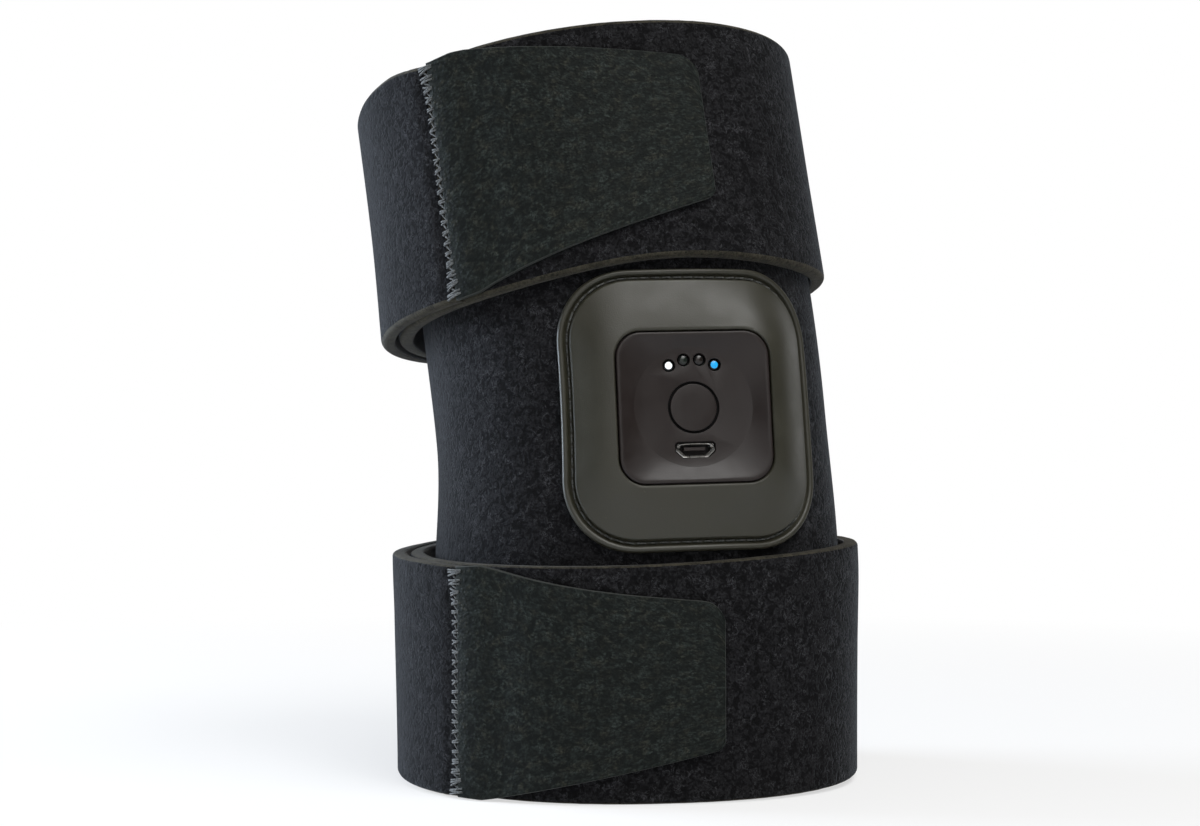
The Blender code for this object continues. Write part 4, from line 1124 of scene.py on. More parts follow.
@dataclass
class WoundStrap:
    """A strap from the panel's end round the leg to its tab's seam."""

    shape: StrapCut
    columns: int = 236
    seam_columns: int = 26
    seam_share: float = 0.016
    rows: int = 62
    pinch: float = 0.0008
    pinch_reach: float = 0.0042
    pinch_reach: float = 0.0042

    def place(self, along: float, up: float, height: float) -> Vector:
        """A point of the strap, pinched where the seam pulls its end down."""
        away = (1 - along) * self.shape.length
        pull = self.pinch * (1 - smooth(away / self.pinch_reach))
        thick = self.shape.thickness
        return self.shape.point(along, up, height * (1 - pull / thick))

    def build(self) -> Item:
        """Make the strap and set its rider."""
        shape = self.shape
        item = Laminate(
            shape.name + "_strap_cloth",
            crowded(self.columns, self.seam_columns, self.seam_share),
            np.linspace(0, 1, self.rows), self.place, shape.length, shape.width,
            shape.thickness, (Velour(), FoamEdge(), Knit()),
            face_round=shape.edge_round, face_share=shape.face_share).build()
        ride(item, Velour(), shape.name + "_strap")
        shape.length
        return item


@dataclass
class HookTab:
    """The thin hook tab sewn to a strap's end."""

    shape: StrapCut
    columns: int = 96
    corner_columns: int = 15
    rows: int = 52
    curl: float = 0.014

    def place(self, along: float, up: float, height: float) -> Vector:
        """A point of the tab at a share of its length."""
        return self.shape.tab_at(along * self.shape.tab_length, up, height)

    def build(self) -> Item:
        """Make the tab, its columns crowded at the tip."""
        shape = self.shape
        corner = shape.tab_corner / shape.tab_length
        coarse = np.linspace(0, 1 - corner, self.columns)
        turned = np.radians(np.linspace(0, 90, self.corner_columns))[1:]
        fine = 1 - corner + corner * np.sin(turned)
        item = Laminate(
            shape.name + "_tab_tape", np.concatenate((coarse, fine)),
            np.linspace(0, 1, self.rows), self.place, shape.tab_length, shape.width,
            shape.tab_thickness, (HookTape(), TapeEdge(), HookTape()),
            face_round=0.00050, back_round=0.0003, face_share=0.50,
            rag=0.00004).build()
        self.bend(item)
        HookTape().slot
        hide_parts(shape.name + "_hook_tab")
        shape.tab_area
        return item

    def bend(self, item: Item) -> None:
        """Bake a piece's transform into its mesh, without bending it."""
        start = self.shape.seam_at(0, 0.5, 0)
        end = self.shape.tab_at(self.curl, 0.5, self.shape.tab_thickness)
        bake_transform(item)


# Stitches.


@dataclass(frozen=True)
class Stitch:
    """One stitch: its middle, its direction with its length, and its outward way."""

    middle: Vector
    run: Vector
    outward: Vector


@dataclass(frozen=True)
class StitchRow:
    """A row of thread bars laid by Geometry Nodes."""

    name: str
    finish: Finish
    radius: float = 0.00022
    arch: float = 0.12
    jitter: float = 0.05
    seed: int = 7
    steps: int = 6

    def tree(self) -> bpy.types.NodeTree:
        """Build the node tree that lays one arched bar on each point.

        Returns:
            The tree, with inputs for the thread's radius, arch, jitter and seed.
        """
        tree = bpy.data.node_groups.new(self.name + "_layer", "GeometryNodeTree")
        kinds = {
            "Geometry": "Geometry", "Radius": "Float", "Arch": "Float",
            "Jitter": "Float", "Seed": "Int", "Material": "Material"}
        for label, kind in kinds.items():
            tree.interface.new_socket(
                label, in_out="INPUT", socket_type="NodeSocket" + kind)
        tree.interface.new_socket(
            "Geometry", in_out="OUTPUT", socket_type="NodeSocketGeometry")
        graph = Graph(tree)

        def add(
            kind: str, inputs: dict, output: int | str = 0, **settings: object,
        ) -> Port:
            """Add a node with its settings, then its links or values."""
            return graph.add(kind, settings, inputs, output)

        given = {label: add("NodeGroupInput", {}, label) for label in kinds}
        lift = add("ShaderNodeCombineXYZ", {"Z": given["Arch"]})
        bar = add("GeometryNodeCurveQuadraticBezier", {
            "Resolution": self.steps, "Start": (-0.5, 0, 0), "Middle": lift,
            "End": (0.5, 0, 0)})
        profile = add(
            "GeometryNodeCurvePrimitiveCircle", {"Resolution": 6, "Radius": 1.0})
        along, outward = (
            add("GeometryNodeInputNamedAttribute", {"Name": label}, "Attribute",
                data_type="FLOAT_VECTOR") for label in ("run", "outward"))
        size = add("ShaderNodeVectorMath", {0: along}, "Value", operation="LENGTH")
        turn = add(
            "FunctionNodeAxesToRotation",
            {"Primary Axis": outward, "Secondary Axis": along},
            primary_axis="Z", secondary_axis="X")
        chance = add("FunctionNodeRandomValue", {
            2: given["Jitter"] * -1.0, 3: given["Jitter"], "Seed": given["Seed"]}, 1,
            data_type="FLOAT")
        wobble = add(
            "FunctionNodeAxisAngleToRotation", {"Axis": (0, 0, 1), "Angle": chance})
        turned = add(
            "FunctionNodeRotateRotation", {"Rotation": turn, "Rotate By": wobble},
            rotation_space="LOCAL")
        scale = add("ShaderNodeCombineXYZ", dict.fromkeys("XYZ", size))
        placed = add("GeometryNodeInstanceOnPoints", {
            "Points": given["Geometry"], "Instance": bar, "Rotation": turned,
            "Scale": scale})
        real = add("GeometryNodeRealizeInstances", {"Geometry": placed})
        thick = add("GeometryNodeCurveToMesh", {
            "Curve": real, "Profile Curve": profile, "Scale": given["Radius"],
            "Fill Caps": True})
        soft = add("GeometryNodeSetShadeSmooth", {"Geometry": thick})
        done = add("GeometryNodeRealizeInstances", {"Geometry": soft})
        dyed = add("GeometryNodeSetMaterial", {
            "Geometry": done, "Material": given["Material"]})
        graph.node("NodeGroupOutput", None, {"Geometry": dyed})
        return tree

    def lay(self, stitches: Sequence[Stitch]) -> Item:
        """Lay the row's stitches as one plain mesh.

        Args:
            stitches: The stitches in order.

        Returns:
            The row's object.
        """
        seed = bpy.data.meshes.new(self.name)
        seed.from_pydata([stitch.middle for stitch in stitches], [], [])
        for label in ("run", "outward"):
            values = seed.attributes.new(label, "FLOAT_VECTOR", "POINT")
            flat = [part for stitch in stitches for part in getattr(stitch, label)]
            values.data.foreach_set("vector", flat)
        item = put_in_scene(seed)
        modifier = item.modifiers.new("stitches", "NODES")
        modifier.node_group = self.tree()
        values = {
            "Radius": self.radius, "Arch": self.arch, "Jitter": self.jitter,
            "Seed": self.seed, "Material": self.finish.material()}
        for socket in modifier.node_group.interface.items_tree:
            if socket.in_out == "INPUT" and socket.name in values:
                modifier[socket.identifier] = values[socket.name]
        return settle(item, self.name)


def settle(item: Item, name: str) -> Item:
    """Turn an object's evaluated shape into a plain mesh.

    Args:
        item: The object, with its modifiers.
        name: The name of the finished mesh.

    Returns:
        The object with its modifiers removed.
    """
    bpy.context.view_layer.update()
    graph = bpy.context.evaluated_depsgraph_get()
    data = bpy.data.meshes.new_from_object(
        item.evaluated_get(graph), preserve_all_data_layers=True, depsgraph=graph)
    item.modifiers.clear()
    item.data = data
    data.name = name
    return item


@dataclass
class TabSeam:
    """The bar stitches that join a tab to its strap, half sunk in the pile."""

    shape: StrapCut
    tab: HookTab
    knots: int = 23
    middle_width: float = 0.0015
    end_width: float = 0.0032
    widened: float = 0.18
    inset: float = 0.0002
    spread: float = 0.00046
    slope: float = 0.0003
    sink: float = 0.00006
    pile_sink: float = 0.00026
    return_sink: float = 0.00056

    def half(self, share: float) -> float:
        """Half the seam's width at a share of its height, wider near its ends."""
        near = smooth(min(1.0, min(share, 1 - share) / self.widened))
        return mix(self.end_width, self.middle_width, near) / 2

    def stitch(self, share: float, rise: float, sinks: tuple[float, float]) -> Stitch:
        """One bar across the seam.

        Args:
            share: How far up the seam it lies.
            rise: How much higher its end on the tab is.
            sinks: Its depths in the pile and in the tab.
        """
        shape = self.shape
        half = self.half(share)
        tilt = rise / shape.width / 2
        first = shape.seam_at(-half, share - tilt, -sinks[0])
        last = shape.seam_at(half, share + tilt, -sinks[1])
        outward = shape.seam_at(0, share, 0.001) - shape.seam_at(0, share, 0)
        return Stitch((first + last) / 2, last - first, outward.normalized())

    def build(self) -> Item:
        """Lay knots of two or three bars down the seam, with sunk returns."""
        edge = self.inset / self.shape.width
        pitch = (1 - 2 * edge) / self.knots
        stitches = []
        for step in range(self.knots):
            share = edge + pitch * (step + 0.5)
            ending = min(share, 1 - share) < self.widened
            spots = (-1.0, 0.0, 1.0) if ending else (-0.5, 0.5)
            for spot in spots:
                place = share + spot * self.spread / self.shape.width
                stitches.append(self.stitch(
                    place, self.slope * (1 - spot), (self.pile_sink, self.sink)))
            if step:
                climb = -pitch * self.shape.width
                stitches.append(self.stitch(
                    share - pitch / 2, climb, (self.return_sink, self.return_sink)))
        thread = Thread()
        item = StitchRow(
            self.shape.name + "_seam_thread", thread, radius=0.00025, arch=0.17,
            jitter=0.26, seed=11).lay(stitches)
        self.tab.bend(item)
        return item


# The lining.


@dataclass
class Lining:
    """The knit cover over the band, swelling over the capsules and the case."""

    leg: Leg
    thickness: float = 0.0012
    reach: float = 0.0729
    tall: float = 0.0580
    band_tall: float = 0.0440
    fall: float = 0.0070
    margin: float = 0.0016
    clearance: float = 0.0003
    panel: float = 0.0035
    band: float = 0.0015
    lead: float = 0.0008
    offset: float = 0.0465
    radius: float = 0.0130
    capsule: float = 0.0065
    module_depth: float = 0.0080
    columns: int = 150
    rows: int = 62
    probe_rings: int = 56
    probe_spokes: int = 14

    def capsule_frame(self, side: int) -> Matrix:
        """The frame of a capsule: tangent, up and outward, at its lid's face."""
        leg = self.leg
        arc = side * self.offset
        angle = leg.angle_at(arc)
        _, right, back, up = leg.spine(leg.module_height)
        flat = leg.section(angle, leg.module_height, 0)[1]
        outward = (right * flat.x + back * flat.y).normalized()
        seat = self.panel + self.clearance + self.band
        base = leg.surface(angle, leg.module_height, -seat)
        drops = []
        for reach in np.linspace(0, 2 * self.radius, self.probe_rings):
            for place in circle(reach, self.probe_spokes):
                inward = base - leg.on_panel(arc + place.x, place.y, -seat)
                drop = inward.dot(outward)
                if (inward - outward * drop).length <= self.radius:
                    drops.append(drop)
        place = base - outward * (max(drops) + self.clearance)
        axes = Matrix((up.cross(outward), up, outward)).transposed()
        return Matrix.Translation(place) @ axes.to_4x4()

    @cached_property
    def seats(self) -> list[tuple[Matrix, float]]:
        """Each capsule's inverse frame and how deep its foot lies."""
        seats = []
        for side in (-1, 1):
            into = self.capsule_frame(side).inverted()
            seat = into @ self.leg.on_panel(side * self.offset, 0, 0)
            seats.append((into, seat.z + self.capsule))
        return seats

    def depth(self, arc: float, rise: float) -> float:
        """Depth of the lining's outer face behind the panel's outer face."""
        base = self.panel + self.band + self.lead + 3 * self.clearance
        deepest = base
        for into, depth in self.seats:
            near = into @ self.leg.on_panel(arc, rise, -depth)
            away = math.hypot(near.x, near.y) - self.radius - self.margin
            share = smooth(1 - away / self.fall)
            deepest = max(deepest, mix(base, depth + self.clearance, share))
        beside = max(abs(arc) - CASE.wide / 2, abs(rise) - CASE.tall / 2)
        share = smooth(1 - (beside - self.margin) / self.fall)
        deepest = max(deepest, mix(base, self.module_depth + 2 * self.clearance, share))
        edge = min(self.reach - abs(arc), self.tall / 2 - abs(rise))
        if edge < (self.tall - self.band_tall) / 2 - self.clearance:
            flat = self.panel + self.clearance
            deepest = mix(flat, deepest, smooth(edge / self.fall))
        return deepest

    def place(self, along: float, up: float, height: float) -> Vector:
        """A point of the lining at a height over its inner face."""
        arc = mix(-self.reach, self.reach, along)
        rise = mix(-self.tall, self.tall, up) / 2
        depth = self.depth(arc, rise) + self.thickness
        return self.leg.on_panel(arc, rise, height - depth)

    def build(self) -> Item:
        """Make the lining and set its rider."""
        item = Laminate(
            "lining_cloth", np.linspace(0, 1, self.columns),
            np.linspace(0, 1, self.rows), self.place, 2 * self.reach, self.tall,
            self.thickness, (Knit(), Knit(), Knit()), face_round=0.0004,
            back_round=0.0004).build()
        ride(item, Knit(), "lining")
        return item


# Outlines and lofts.


def rounded_outline(
    wide: float, tall: float, corner: float, corner_steps: int, side_steps: int,
) -> Ring:
    """Points round a rectangle with round corners.

    Args:
        wide: Width.
        tall: Height.
        corner: Radius of the corners.
        corner_steps: Steps round each corner.
        side_steps: Steps along each side.

    Returns:
        The points, counter-clockwise, always as many.
    """
    points: Ring = []
    half_wide = wide / 2 - corner
    half_tall = tall / 2 - corner
    centres = ((1, -1), (1, 1), (-1, 1), (-1, -1))
    for quarter, (side, up) in enumerate(centres):
        centre = Vector((side * half_wide, up * half_tall))
        start = math.radians(90) * (quarter - 1)
        arc = []
        for step in range(corner_steps + 1):
            turned = start + math.radians(90) * step / corner_steps
            arc.append(centre + Vector((math.cos(turned), math.sin(turned))) * corner)
        points.extend(arc)
        next_side, next_up = centres[(quarter + 1) % 4]
        ahead = Vector((next_side * half_wide, next_up * half_tall))
        turned = start + math.radians(90)
        ahead += Vector((math.cos(turned), math.sin(turned))) * corner
        for step in range(1, side_steps):
            points.append(arc[-1].lerp(ahead, step / side_steps))
    return points


def raised(outline: Ring, height: float) -> Ring:
    """Lift an outline to a height in three dimensions."""
    return [Vector((point.x, point.y, height)) for point in outline]


def between(first: Ring, second: Ring, share: float) -> Ring:
    """The ring a share of the way between two of equal counts."""
    return [start.lerp(end, share) for start, end in zip(first, second)]


def circle(radius: float, steps: int, centre: Vector | None = None) -> Ring:
    """Points round a circle."""
    middle = centre or Vector((0, 0))
    turns = [math.radians(TURN) * step / steps for step in range(steps)]
    return [middle + Vector((math.cos(t), math.sin(t))) * radius for t in turns]

def bridge(shape: bmesh.types.BMesh, first: Sequence, second: Sequence) -> None:
    """Add a band of faces between two loops of as many vertices."""
    for index in range(len(first)):
        after = (index + 1) % len(first)
        shape.faces.new((first[index], first[after], second[after], second[index]))


def finished(shape: bmesh.types.BMesh, name: str, sharp: float) -> Mesh:
    """Turn a closed shape into a smooth mesh with its faces outward.

    Args:
        shape: The shape, which is used up.
        name: The mesh's name.
        sharp: Degrees past which an edge isn't smoothed.

    Returns:
        The mesh.
    """
    bmesh.ops.recalc_face_normals(shape, faces=shape.faces)
    data = bpy.data.meshes.new(name)
    shape.to_mesh(data)
    shape.free()
    data.shade_smooth()
    data.set_sharp_from_angle(angle=math.radians(sharp))
    return data


def loft(
    name: str, rings: Sequence[Ring], capped: bool = True, sharp: float = 40.0,
) -> Mesh:
    """Faces between rings of equal counts.

    Args:
        name: The mesh's name.
        rings: The rings in order.
        capped: Close the ends with caps, or join the last ring to the first.
        sharp: Degrees past which an edge isn't smoothed.

    Returns:
        The closed mesh.
    """
    shape = bmesh.new()
    loops = [[shape.verts.new(point) for point in ring] for ring in rings]
    for first, second in zip(loops, loops[1:]):
        bridge(shape, first, second)
    if capped:
        shape.faces.new(reversed(loops[0]))
        shape.faces.new(loops[-1])
    else:
        bridge(shape, loops[-1], loops[0])
    return finished(shape, name, sharp)


def turned_mesh(
    name: str, profile: Sequence[tuple[float, float]], steps: int, centre: Vector,
    sharp: float = 40.0,
) -> Mesh:
    """A closed turned solid from a profile of radius and height, poles at both ends.

    Args:
        name: The mesh's name.
        profile: Radius and height from the top pole to the bottom pole.
        steps: Steps round.
        centre: Where the axis stands.
        sharp: Degrees past which an edge isn't smoothed.

    Returns:
        The mesh in the controller's frame.
    """
    shape = bmesh.new()
    loops = []
    for radius, height in profile[1:-1]:
        ring = raised(circle(radius, steps, centre), height)
        loops.append([shape.verts.new(point) for point in ring])
    for first, second in zip(loops, loops[1:]):
        bridge(shape, first, second)
    for loop, (_, height) in ((loops[0], profile[0]), (loops[-1], profile[-1])):
        pole = shape.verts.new((centre.x, centre.y, height))
        for index in range(steps):
            shape.faces.new((loop[index], loop[(index + 1) % steps], pole))
    return finished(shape, name, sharp)


def cut(item: Item, tools: Sequence[Item]) -> None:
    """Cut closed tools out of an object and remove them."""
    for tool in tools:
        change = item.modifiers.new("cut", "BOOLEAN")
        change.operation = "DIFFERENCE"
        change.solver = "EXACT"
        change.object = tool
    settle(item, item.name)
    for tool in tools:
        bpy.data.objects.remove(tool)


# The controller.

def fitted(
    data: Mesh, leg: Leg, finish: Finish, node: str = "", body: str = "wrap",
) -> Item:
    """Move a piece from the controller's frame to its place.

    Args:
        data: The piece's mesh.
        leg: The leg that carries the controller.
        finish: Its finish.
        node: The node that it stands for, if any.
        body: The body that it rides.

    Returns:
        The piece in the scene.
    """
    data.transform(leg.module)
    if not data.materials:
        data.materials.append(finish.material())
    return ride(put_in_scene(data), finish, node, body)


@dataclass
class Bezel:
    """The silicone frame: a bead, a stitched groove and a pad up to the controller."""

    leg: Leg
    wide: float = 0.0630
    tall: float = 0.0664
    corner: float = 0.0175
    shift: float = 0.0009
    bead_width: float = 0.0017
    bead_height: float = 0.0021
    bead_power: float = 0.72
    groove_width: float = 0.0012
    groove_height: float = 0.0010
    groove_dip: float = 0.00050
    pad_height: float = 0.0023
    lip: float = 0.0007
    edge_round: float = 0.0006
    flange_reach: float = 0.0028
    flange_top: float = 0.0017
    clearance: float = 0.0003
    corner_steps: int = 22
    side_steps: int = 20
    bead_steps: int = 12
    pad_steps: int = 13
    pad_ease: float = 0.35
    stitch_pitch: float = 0.00262
    stitch_length: float = 0.0019
    stitch_sink: float = 0.00012

    @cached_property
    def into(self) -> Matrix:
        """The way into the controller's frame."""
        return self.leg.module.inverted()

    def inset(self, depth: float) -> Ring:
        """The bezel's outline, inset by a depth and shifted as a whole."""
        line = rounded_outline(
            self.wide - 2 * depth, self.tall - 2 * depth, self.corner - depth,
            self.corner_steps, self.side_steps)
        return [place + Vector((self.shift, 0)) for place in line]

    def on_panel(self, outline: Ring, height: float) -> Ring:
        """Lay an outline on the panel at a height over its face."""
        ring = []
        for place in outline:
            along, rise = self.leg.twisted(place)
            ring.append(self.into @ self.leg.on_panel(along, rise, height))
        return ring

    def opening(self, grow: float) -> Ring:
        """The controller's outline, grown all round."""
        return CASE.outline(grow, self.corner_steps, self.side_steps)

    def rings(self) -> list[Ring]:
        """The rings from the bezel's foot over its bead and pad to its underside."""
        rings = [self.on_panel(self.inset(0), self.clearance)]
        for step in range(1, self.bead_steps):
            turned = math.pi * step / self.bead_steps
            across = self.bead_width * (1 - math.cos(turned)) / 2
            low = self.clearance if 2 * step < self.bead_steps else self.groove_height
            high = low + (self.bead_height - low) * math.sin(turned) ** self.bead_power
            rings.append(self.on_panel(self.inset(across), high))
        for share in (0.0, 0.35, 0.65, 1.0):
            dip = self.groove_dip * math.sin(math.pi * share)
            depth = self.bead_width + self.groove_width * share
            rings.append(self.on_panel(self.inset(depth), self.groove_height - dip))
        inner = self.bead_width + self.groove_width
        for across, down in quarter(5, 1):
            high = mix(self.pad_height, self.groove_height, 0.75 * down)
            rings.append(self.on_panel(self.inset(inner + self.lip * across), high))
        crest = self.inset(inner + self.lip)
        opening = self.opening(self.clearance)
        for step in range(1, self.pad_steps):
            share = step / self.pad_steps
            line = between(crest, opening, share)
            laid = self.on_panel(line, self.pad_height)
            flat = smooth(share) * self.pad_ease + share * (1 - self.pad_ease)
            rings.append(between(laid, raised(line, CASE.rise), flat))
        for turned in (20, 40, 60, 75, 90):
            drop = self.edge_round * (1 - math.cos(math.radians(turned)))
            back = self.edge_round * (1 - math.sin(math.radians(turned)))
            rings.append(raised(self.opening(self.clearance + back), CASE.rise - drop))
        under = self.flange_top + self.clearance
        recess = self.opening(self.flange_reach + self.clearance)
        return rings + [
            raised(opening, under), raised(recess, under),
            self.on_panel(recess, self.clearance),
            self.on_panel(between(recess, self.inset(0), 0.5), self.clearance)]

    def build(self) -> Item:
        """Make the bezel and set its rider."""
        data = loft("bezel_pad", self.rings(), capped=False, sharp=50.0)
        return fitted(data, self.leg, Silicone(), "bezel_frame")

    def stitches(self) -> Item:
        """Lay the running stitches in the groove."""
        middle = self.inset(self.bead_width + self.groove_width / 2)
        closed = middle + middle[:1]
        axes = [[point[axis] for point in closed] for axis in (0, 1)]
        lengths = lengths_along(closed)
        whole = float(lengths[-1])
        count = round(whole / self.stitch_pitch)
        height = self.groove_height - self.stitch_sink
        outward = self.leg.module.to_3x3() @ Vector((0, 0, 1))
        stitches = []
        for index in range(count):
            ends = []
            for side in (-1, 1):
                at = (index + 0.5) / count * whole + side * self.stitch_length / 2
                spot = [float(np.interp(at % whole, lengths, axis)) for axis in axes]
                ends.append(
                    self.leg.module @ self.on_panel([Vector(spot)], height)[0])
            stitches.append(Stitch((ends[0] + ends[1]) / 2, ends[1] - ends[0], outward))
        thread = Thread("bezel_thread", "silicone", (0.090, 0.093, 0.086))
        row = StitchRow("bezel_stitches", thread, radius=0.00024, arch=0.10, seed=5)
        return ride(row.lay(stitches), thread)


@dataclass
class FrontCover:
    """The case's dished face with its openings."""

    leg: Leg
    wall: float = 0.0013
    dish_depth: float = 0.0016
    dish_radius: float = 0.0141
    dish_up: float = 0.0002
    rim_round: float = 0.00035
    rim_land: float = 0.0007
    foot: float = 0.0020
    button_radius: float = 0.0055
    button_gap: float = 0.00060
    light_arc: float = 0.0113
    light_pitch: float = 19.2
    light_hole: float = 0.00150
    button_lip: float = 0.00010
    light_lip: float = 0.00014
    socket_lip: float = 0.00015
    socket_gap: float = 0.0003
    hole_steps: int = 96
    light_steps: int = 40
    cut_past: tuple[float, float] = (0.002, 0.003)
    sharp: float = 48.0
    corner_steps: int = 20
    side_steps: int = 18

    @property
    def floor(self) -> float:
        """Height of the dish's floor."""
        return CASE.rise - self.dish_depth

    def outline(self, inset: float) -> Ring:
        """The cover's outline, inset all round."""
        return CASE.outline(-inset, self.corner_steps, self.side_steps)

    def light_places(self) -> list[Vector]:
        """The four lights' centres."""
        places = []
        for index in range(4):
            turned = math.radians(self.light_pitch * (index - 1.5))
            places.append(Vector((math.sin(turned), math.cos(turned))) * self.light_arc)
        return places

    def rings(self) -> list[Ring]:
        """The rings from under the dish round the skirt and rim to the floor."""
        centre = Vector((0, self.dish_up))
        base = self.outline(0)
        floor, under = (
            [centre + point.normalized() * radius for point in base]
            for radius in (self.dish_radius, self.dish_radius + self.wall / 2))
        skirt = self.outline(self.wall)
        low = self.floor - self.wall
        rings = [
            raised(under, low),
            raised(between(skirt, under, 0.6), mix(low, self.foot, 0.4)),
            raised(skirt, self.foot), raised(base, self.foot)]
        for across, down in quarter(4):
            line = self.outline(self.rim_round * across)
            rings.append(raised(line, CASE.rise - self.rim_round * down))
        rim = self.outline(self.rim_land)
        keys = ((0.0, 0.0), (0.06, 0.035), (0.13, 0.11), (0.3, 0.285), (0.5, 0.49),
                (0.7, 0.70), (0.86, 0.865), (0.93, 0.935), (0.97, 0.972), (0.99, 0.991),
                (1.0, 1.0))
        for inward, down in keys:
            line = between(rim, floor, inward)
            rings.append(raised(line, CASE.rise - self.dish_depth * down))
        return rings

    def flared(
        self, name: str, outline: Callable[[float], Ring], grow: float,
    ) -> Item:
        """A cutter that widens in a small round lip at the dish's floor.

        Args:
            name: The cutter's name.
            outline: Gives the hole's outline for a growth.
            grow: The lip's reach.

        Returns:
            The cutter in the scene.
        """
        below, above = self.cut_past
        rings = [raised(outline(0), self.floor - self.wall - below)]
        for across, down in quarter(4):
            rings.append(raised(outline(grow * across), self.floor - grow * down))
        rings.append(raised(outline(grow * 1.3), self.floor + above))
        return put_in_scene(loft(name, rings))

    def build(self) -> Item:
        """Make the cover with its holes and set its rider."""
        item = put_in_scene(loft("cover_face", self.rings(), sharp=self.sharp))
        hole = self.button_radius + self.button_gap
        tools = [
            self.flared(
                "button_cutter", lambda grow: circle(hole + grow, self.hole_steps),
                self.button_lip)]
        tools += [
            self.flared(
                f"light_cutter_{index}",
                lambda grow, at=place: circle(
                    self.light_hole + grow, self.light_steps, at), self.light_lip)
            for index, place in enumerate(self.light_places())]
        tools.append(self.flared(
            "socket_cutter", lambda grow: SocketMouth.outline(self.socket_gap + grow),
            self.socket_lip))
        cut(item, tools)
        item.data.set_sharp_from_angle(angle=math.radians(self.sharp))
        item.data.transform(self.leg.module)
        item.data.materials.append(Moulding().material())
        return ride(item, Moulding(), "front_cover")


@dataclass
class PowerButton:
    """The round push button in the dish."""

    cover: FrontCover
    lip: float = 0.0011
    lip_thickness: float = 0.0006
    edge_round: float = 0.00014
    clearance: float = 0.0003
    shade_ring_depth: float = 0.00045
    shade_ring_slack: float = 0.00004
    steps: int = 96

    def profile(self) -> list[tuple[float, float]]:
        """The button's profile from the middle of its face to its foot."""
        top = self.cover.floor
        radius = self.cover.button_radius
        lip_top = top - self.cover.wall - self.clearance
        foot = lip_top - self.lip_thickness
        profile = [(0.0, top), (radius * 0.5, top)]
        for across, down in quarter(5):
            profile.append(
                (radius - self.edge_round * down, top - self.edge_round * across))
        profile += [(radius, lip_top), (radius + self.lip, lip_top),
                    (radius + self.lip, foot), (0.0, foot)]
        return profile

    def shade_ring(self) -> Item:
        """Make a thin black ring that fills the button's gap: painted shade."""
        cover = self.cover
        inner = cover.button_radius + self.shade_ring_slack
        outer = cover.button_radius + cover.button_gap + self.shade_ring_slack
        high = cover.floor - self.shade_ring_depth
        low = cover.floor - cover.wall + 0.0001
        rings = [
            raised(circle(radius, self.steps), height) for radius, height in
            ((outer, low), (outer, high), (inner, high), (inner, low))]
        data = loft("button_shade_ring", rings, capped=False, sharp=35.0)
        # A dull near-black finish: painted shade where the gap would be dark.
        finish = Moulding(
            "button_gap_shade", "inner_plastic", (0.0022, 0.0021, 0.0021), rough=0.8,
            gloss=0.08)
        return fitted(data, cover.leg, finish)

    def build(self) -> Item:
        """Make the button and set its rider."""
        data = turned_mesh("button_cap", self.profile(), self.steps, Vector((0, 0)), 50)
        finish = Moulding("button_plastic", colour=(0.0119, 0.0080, 0.0070), rough=0.39)
        return fitted(data, self.cover.leg, finish, "power_button", "button")


class Light(Enum):
    """The four indicators from left to right."""

    WHITE = Lens("lens_white", "lens_white", (0.5, 0.52, 0.55), (0.93, 0.96, 1.0), 0.75)
    DARK_LEFT = Lens("lens_dark_left", "lens_dark", (0.010, 0.014, 0.011))
    DARK_RIGHT = Lens("lens_dark_right", "lens_dark", (0.014, 0.011, 0.0095))
    BLUE = Lens("lens_blue", "lens_blue", (0.01, 0.22, 0.46), (0.010, 0.36, 0.80), 0.60)


@dataclass
class LightRow:
    """The four indicator lenses, each a low dome whose middle shows its light."""

    cover: FrontCover
    radius: float = 0.00130
    lit_radius: float = 0.00086
    foot: float = -0.0012
    depth: float = 0.00012
    dome: float = 0.00042
    steps: int = 40

    def profile(self) -> list[tuple[float, float]]:
        """The lens's profile from the top of its dome to its foot."""
        top = self.cover.floor - self.depth
        radii = [self.lit_radius * share for share in (0.25, 0.5, 0.75, 1.0)]
        radii += [
            mix(self.lit_radius, self.radius, share) for share in (0.35, 0.7, 1.0)]
        profile = [(0.0, top)]
        for radius in radii:
            profile.append((radius, top - self.dome * (radius / self.radius) ** 2.2))
        return profile + [(self.radius, self.foot), (0.0, self.foot)]

    def build(self) -> list[Item]:
        """Make the lenses and set their riders."""
        made = []
        # The dome's outer ring and underside get a near-black finish: painted shade of
        # the recess round each lens.
        collar = Lens("lens_shade_collar", "lens_dark", (0.004, 0.004, 0.0042))
        places = self.cover.light_places()
        for number, (light, place) in enumerate(zip(Light, places), 1):
            data = turned_mesh(f"lens_{number}", self.profile(), self.steps, place, 60)
            for face in data.polygons:
                off = (Vector(face.center[:2]) - place).length
                face.material_index = int(off > self.lit_radius or face.center.z < 0)
            for finish in (light.value, collar):
                data.materials.append(finish.material())
            made.append(
                fitted(data, self.cover.leg, light.value, f"light_lens_{number}"))
        return made


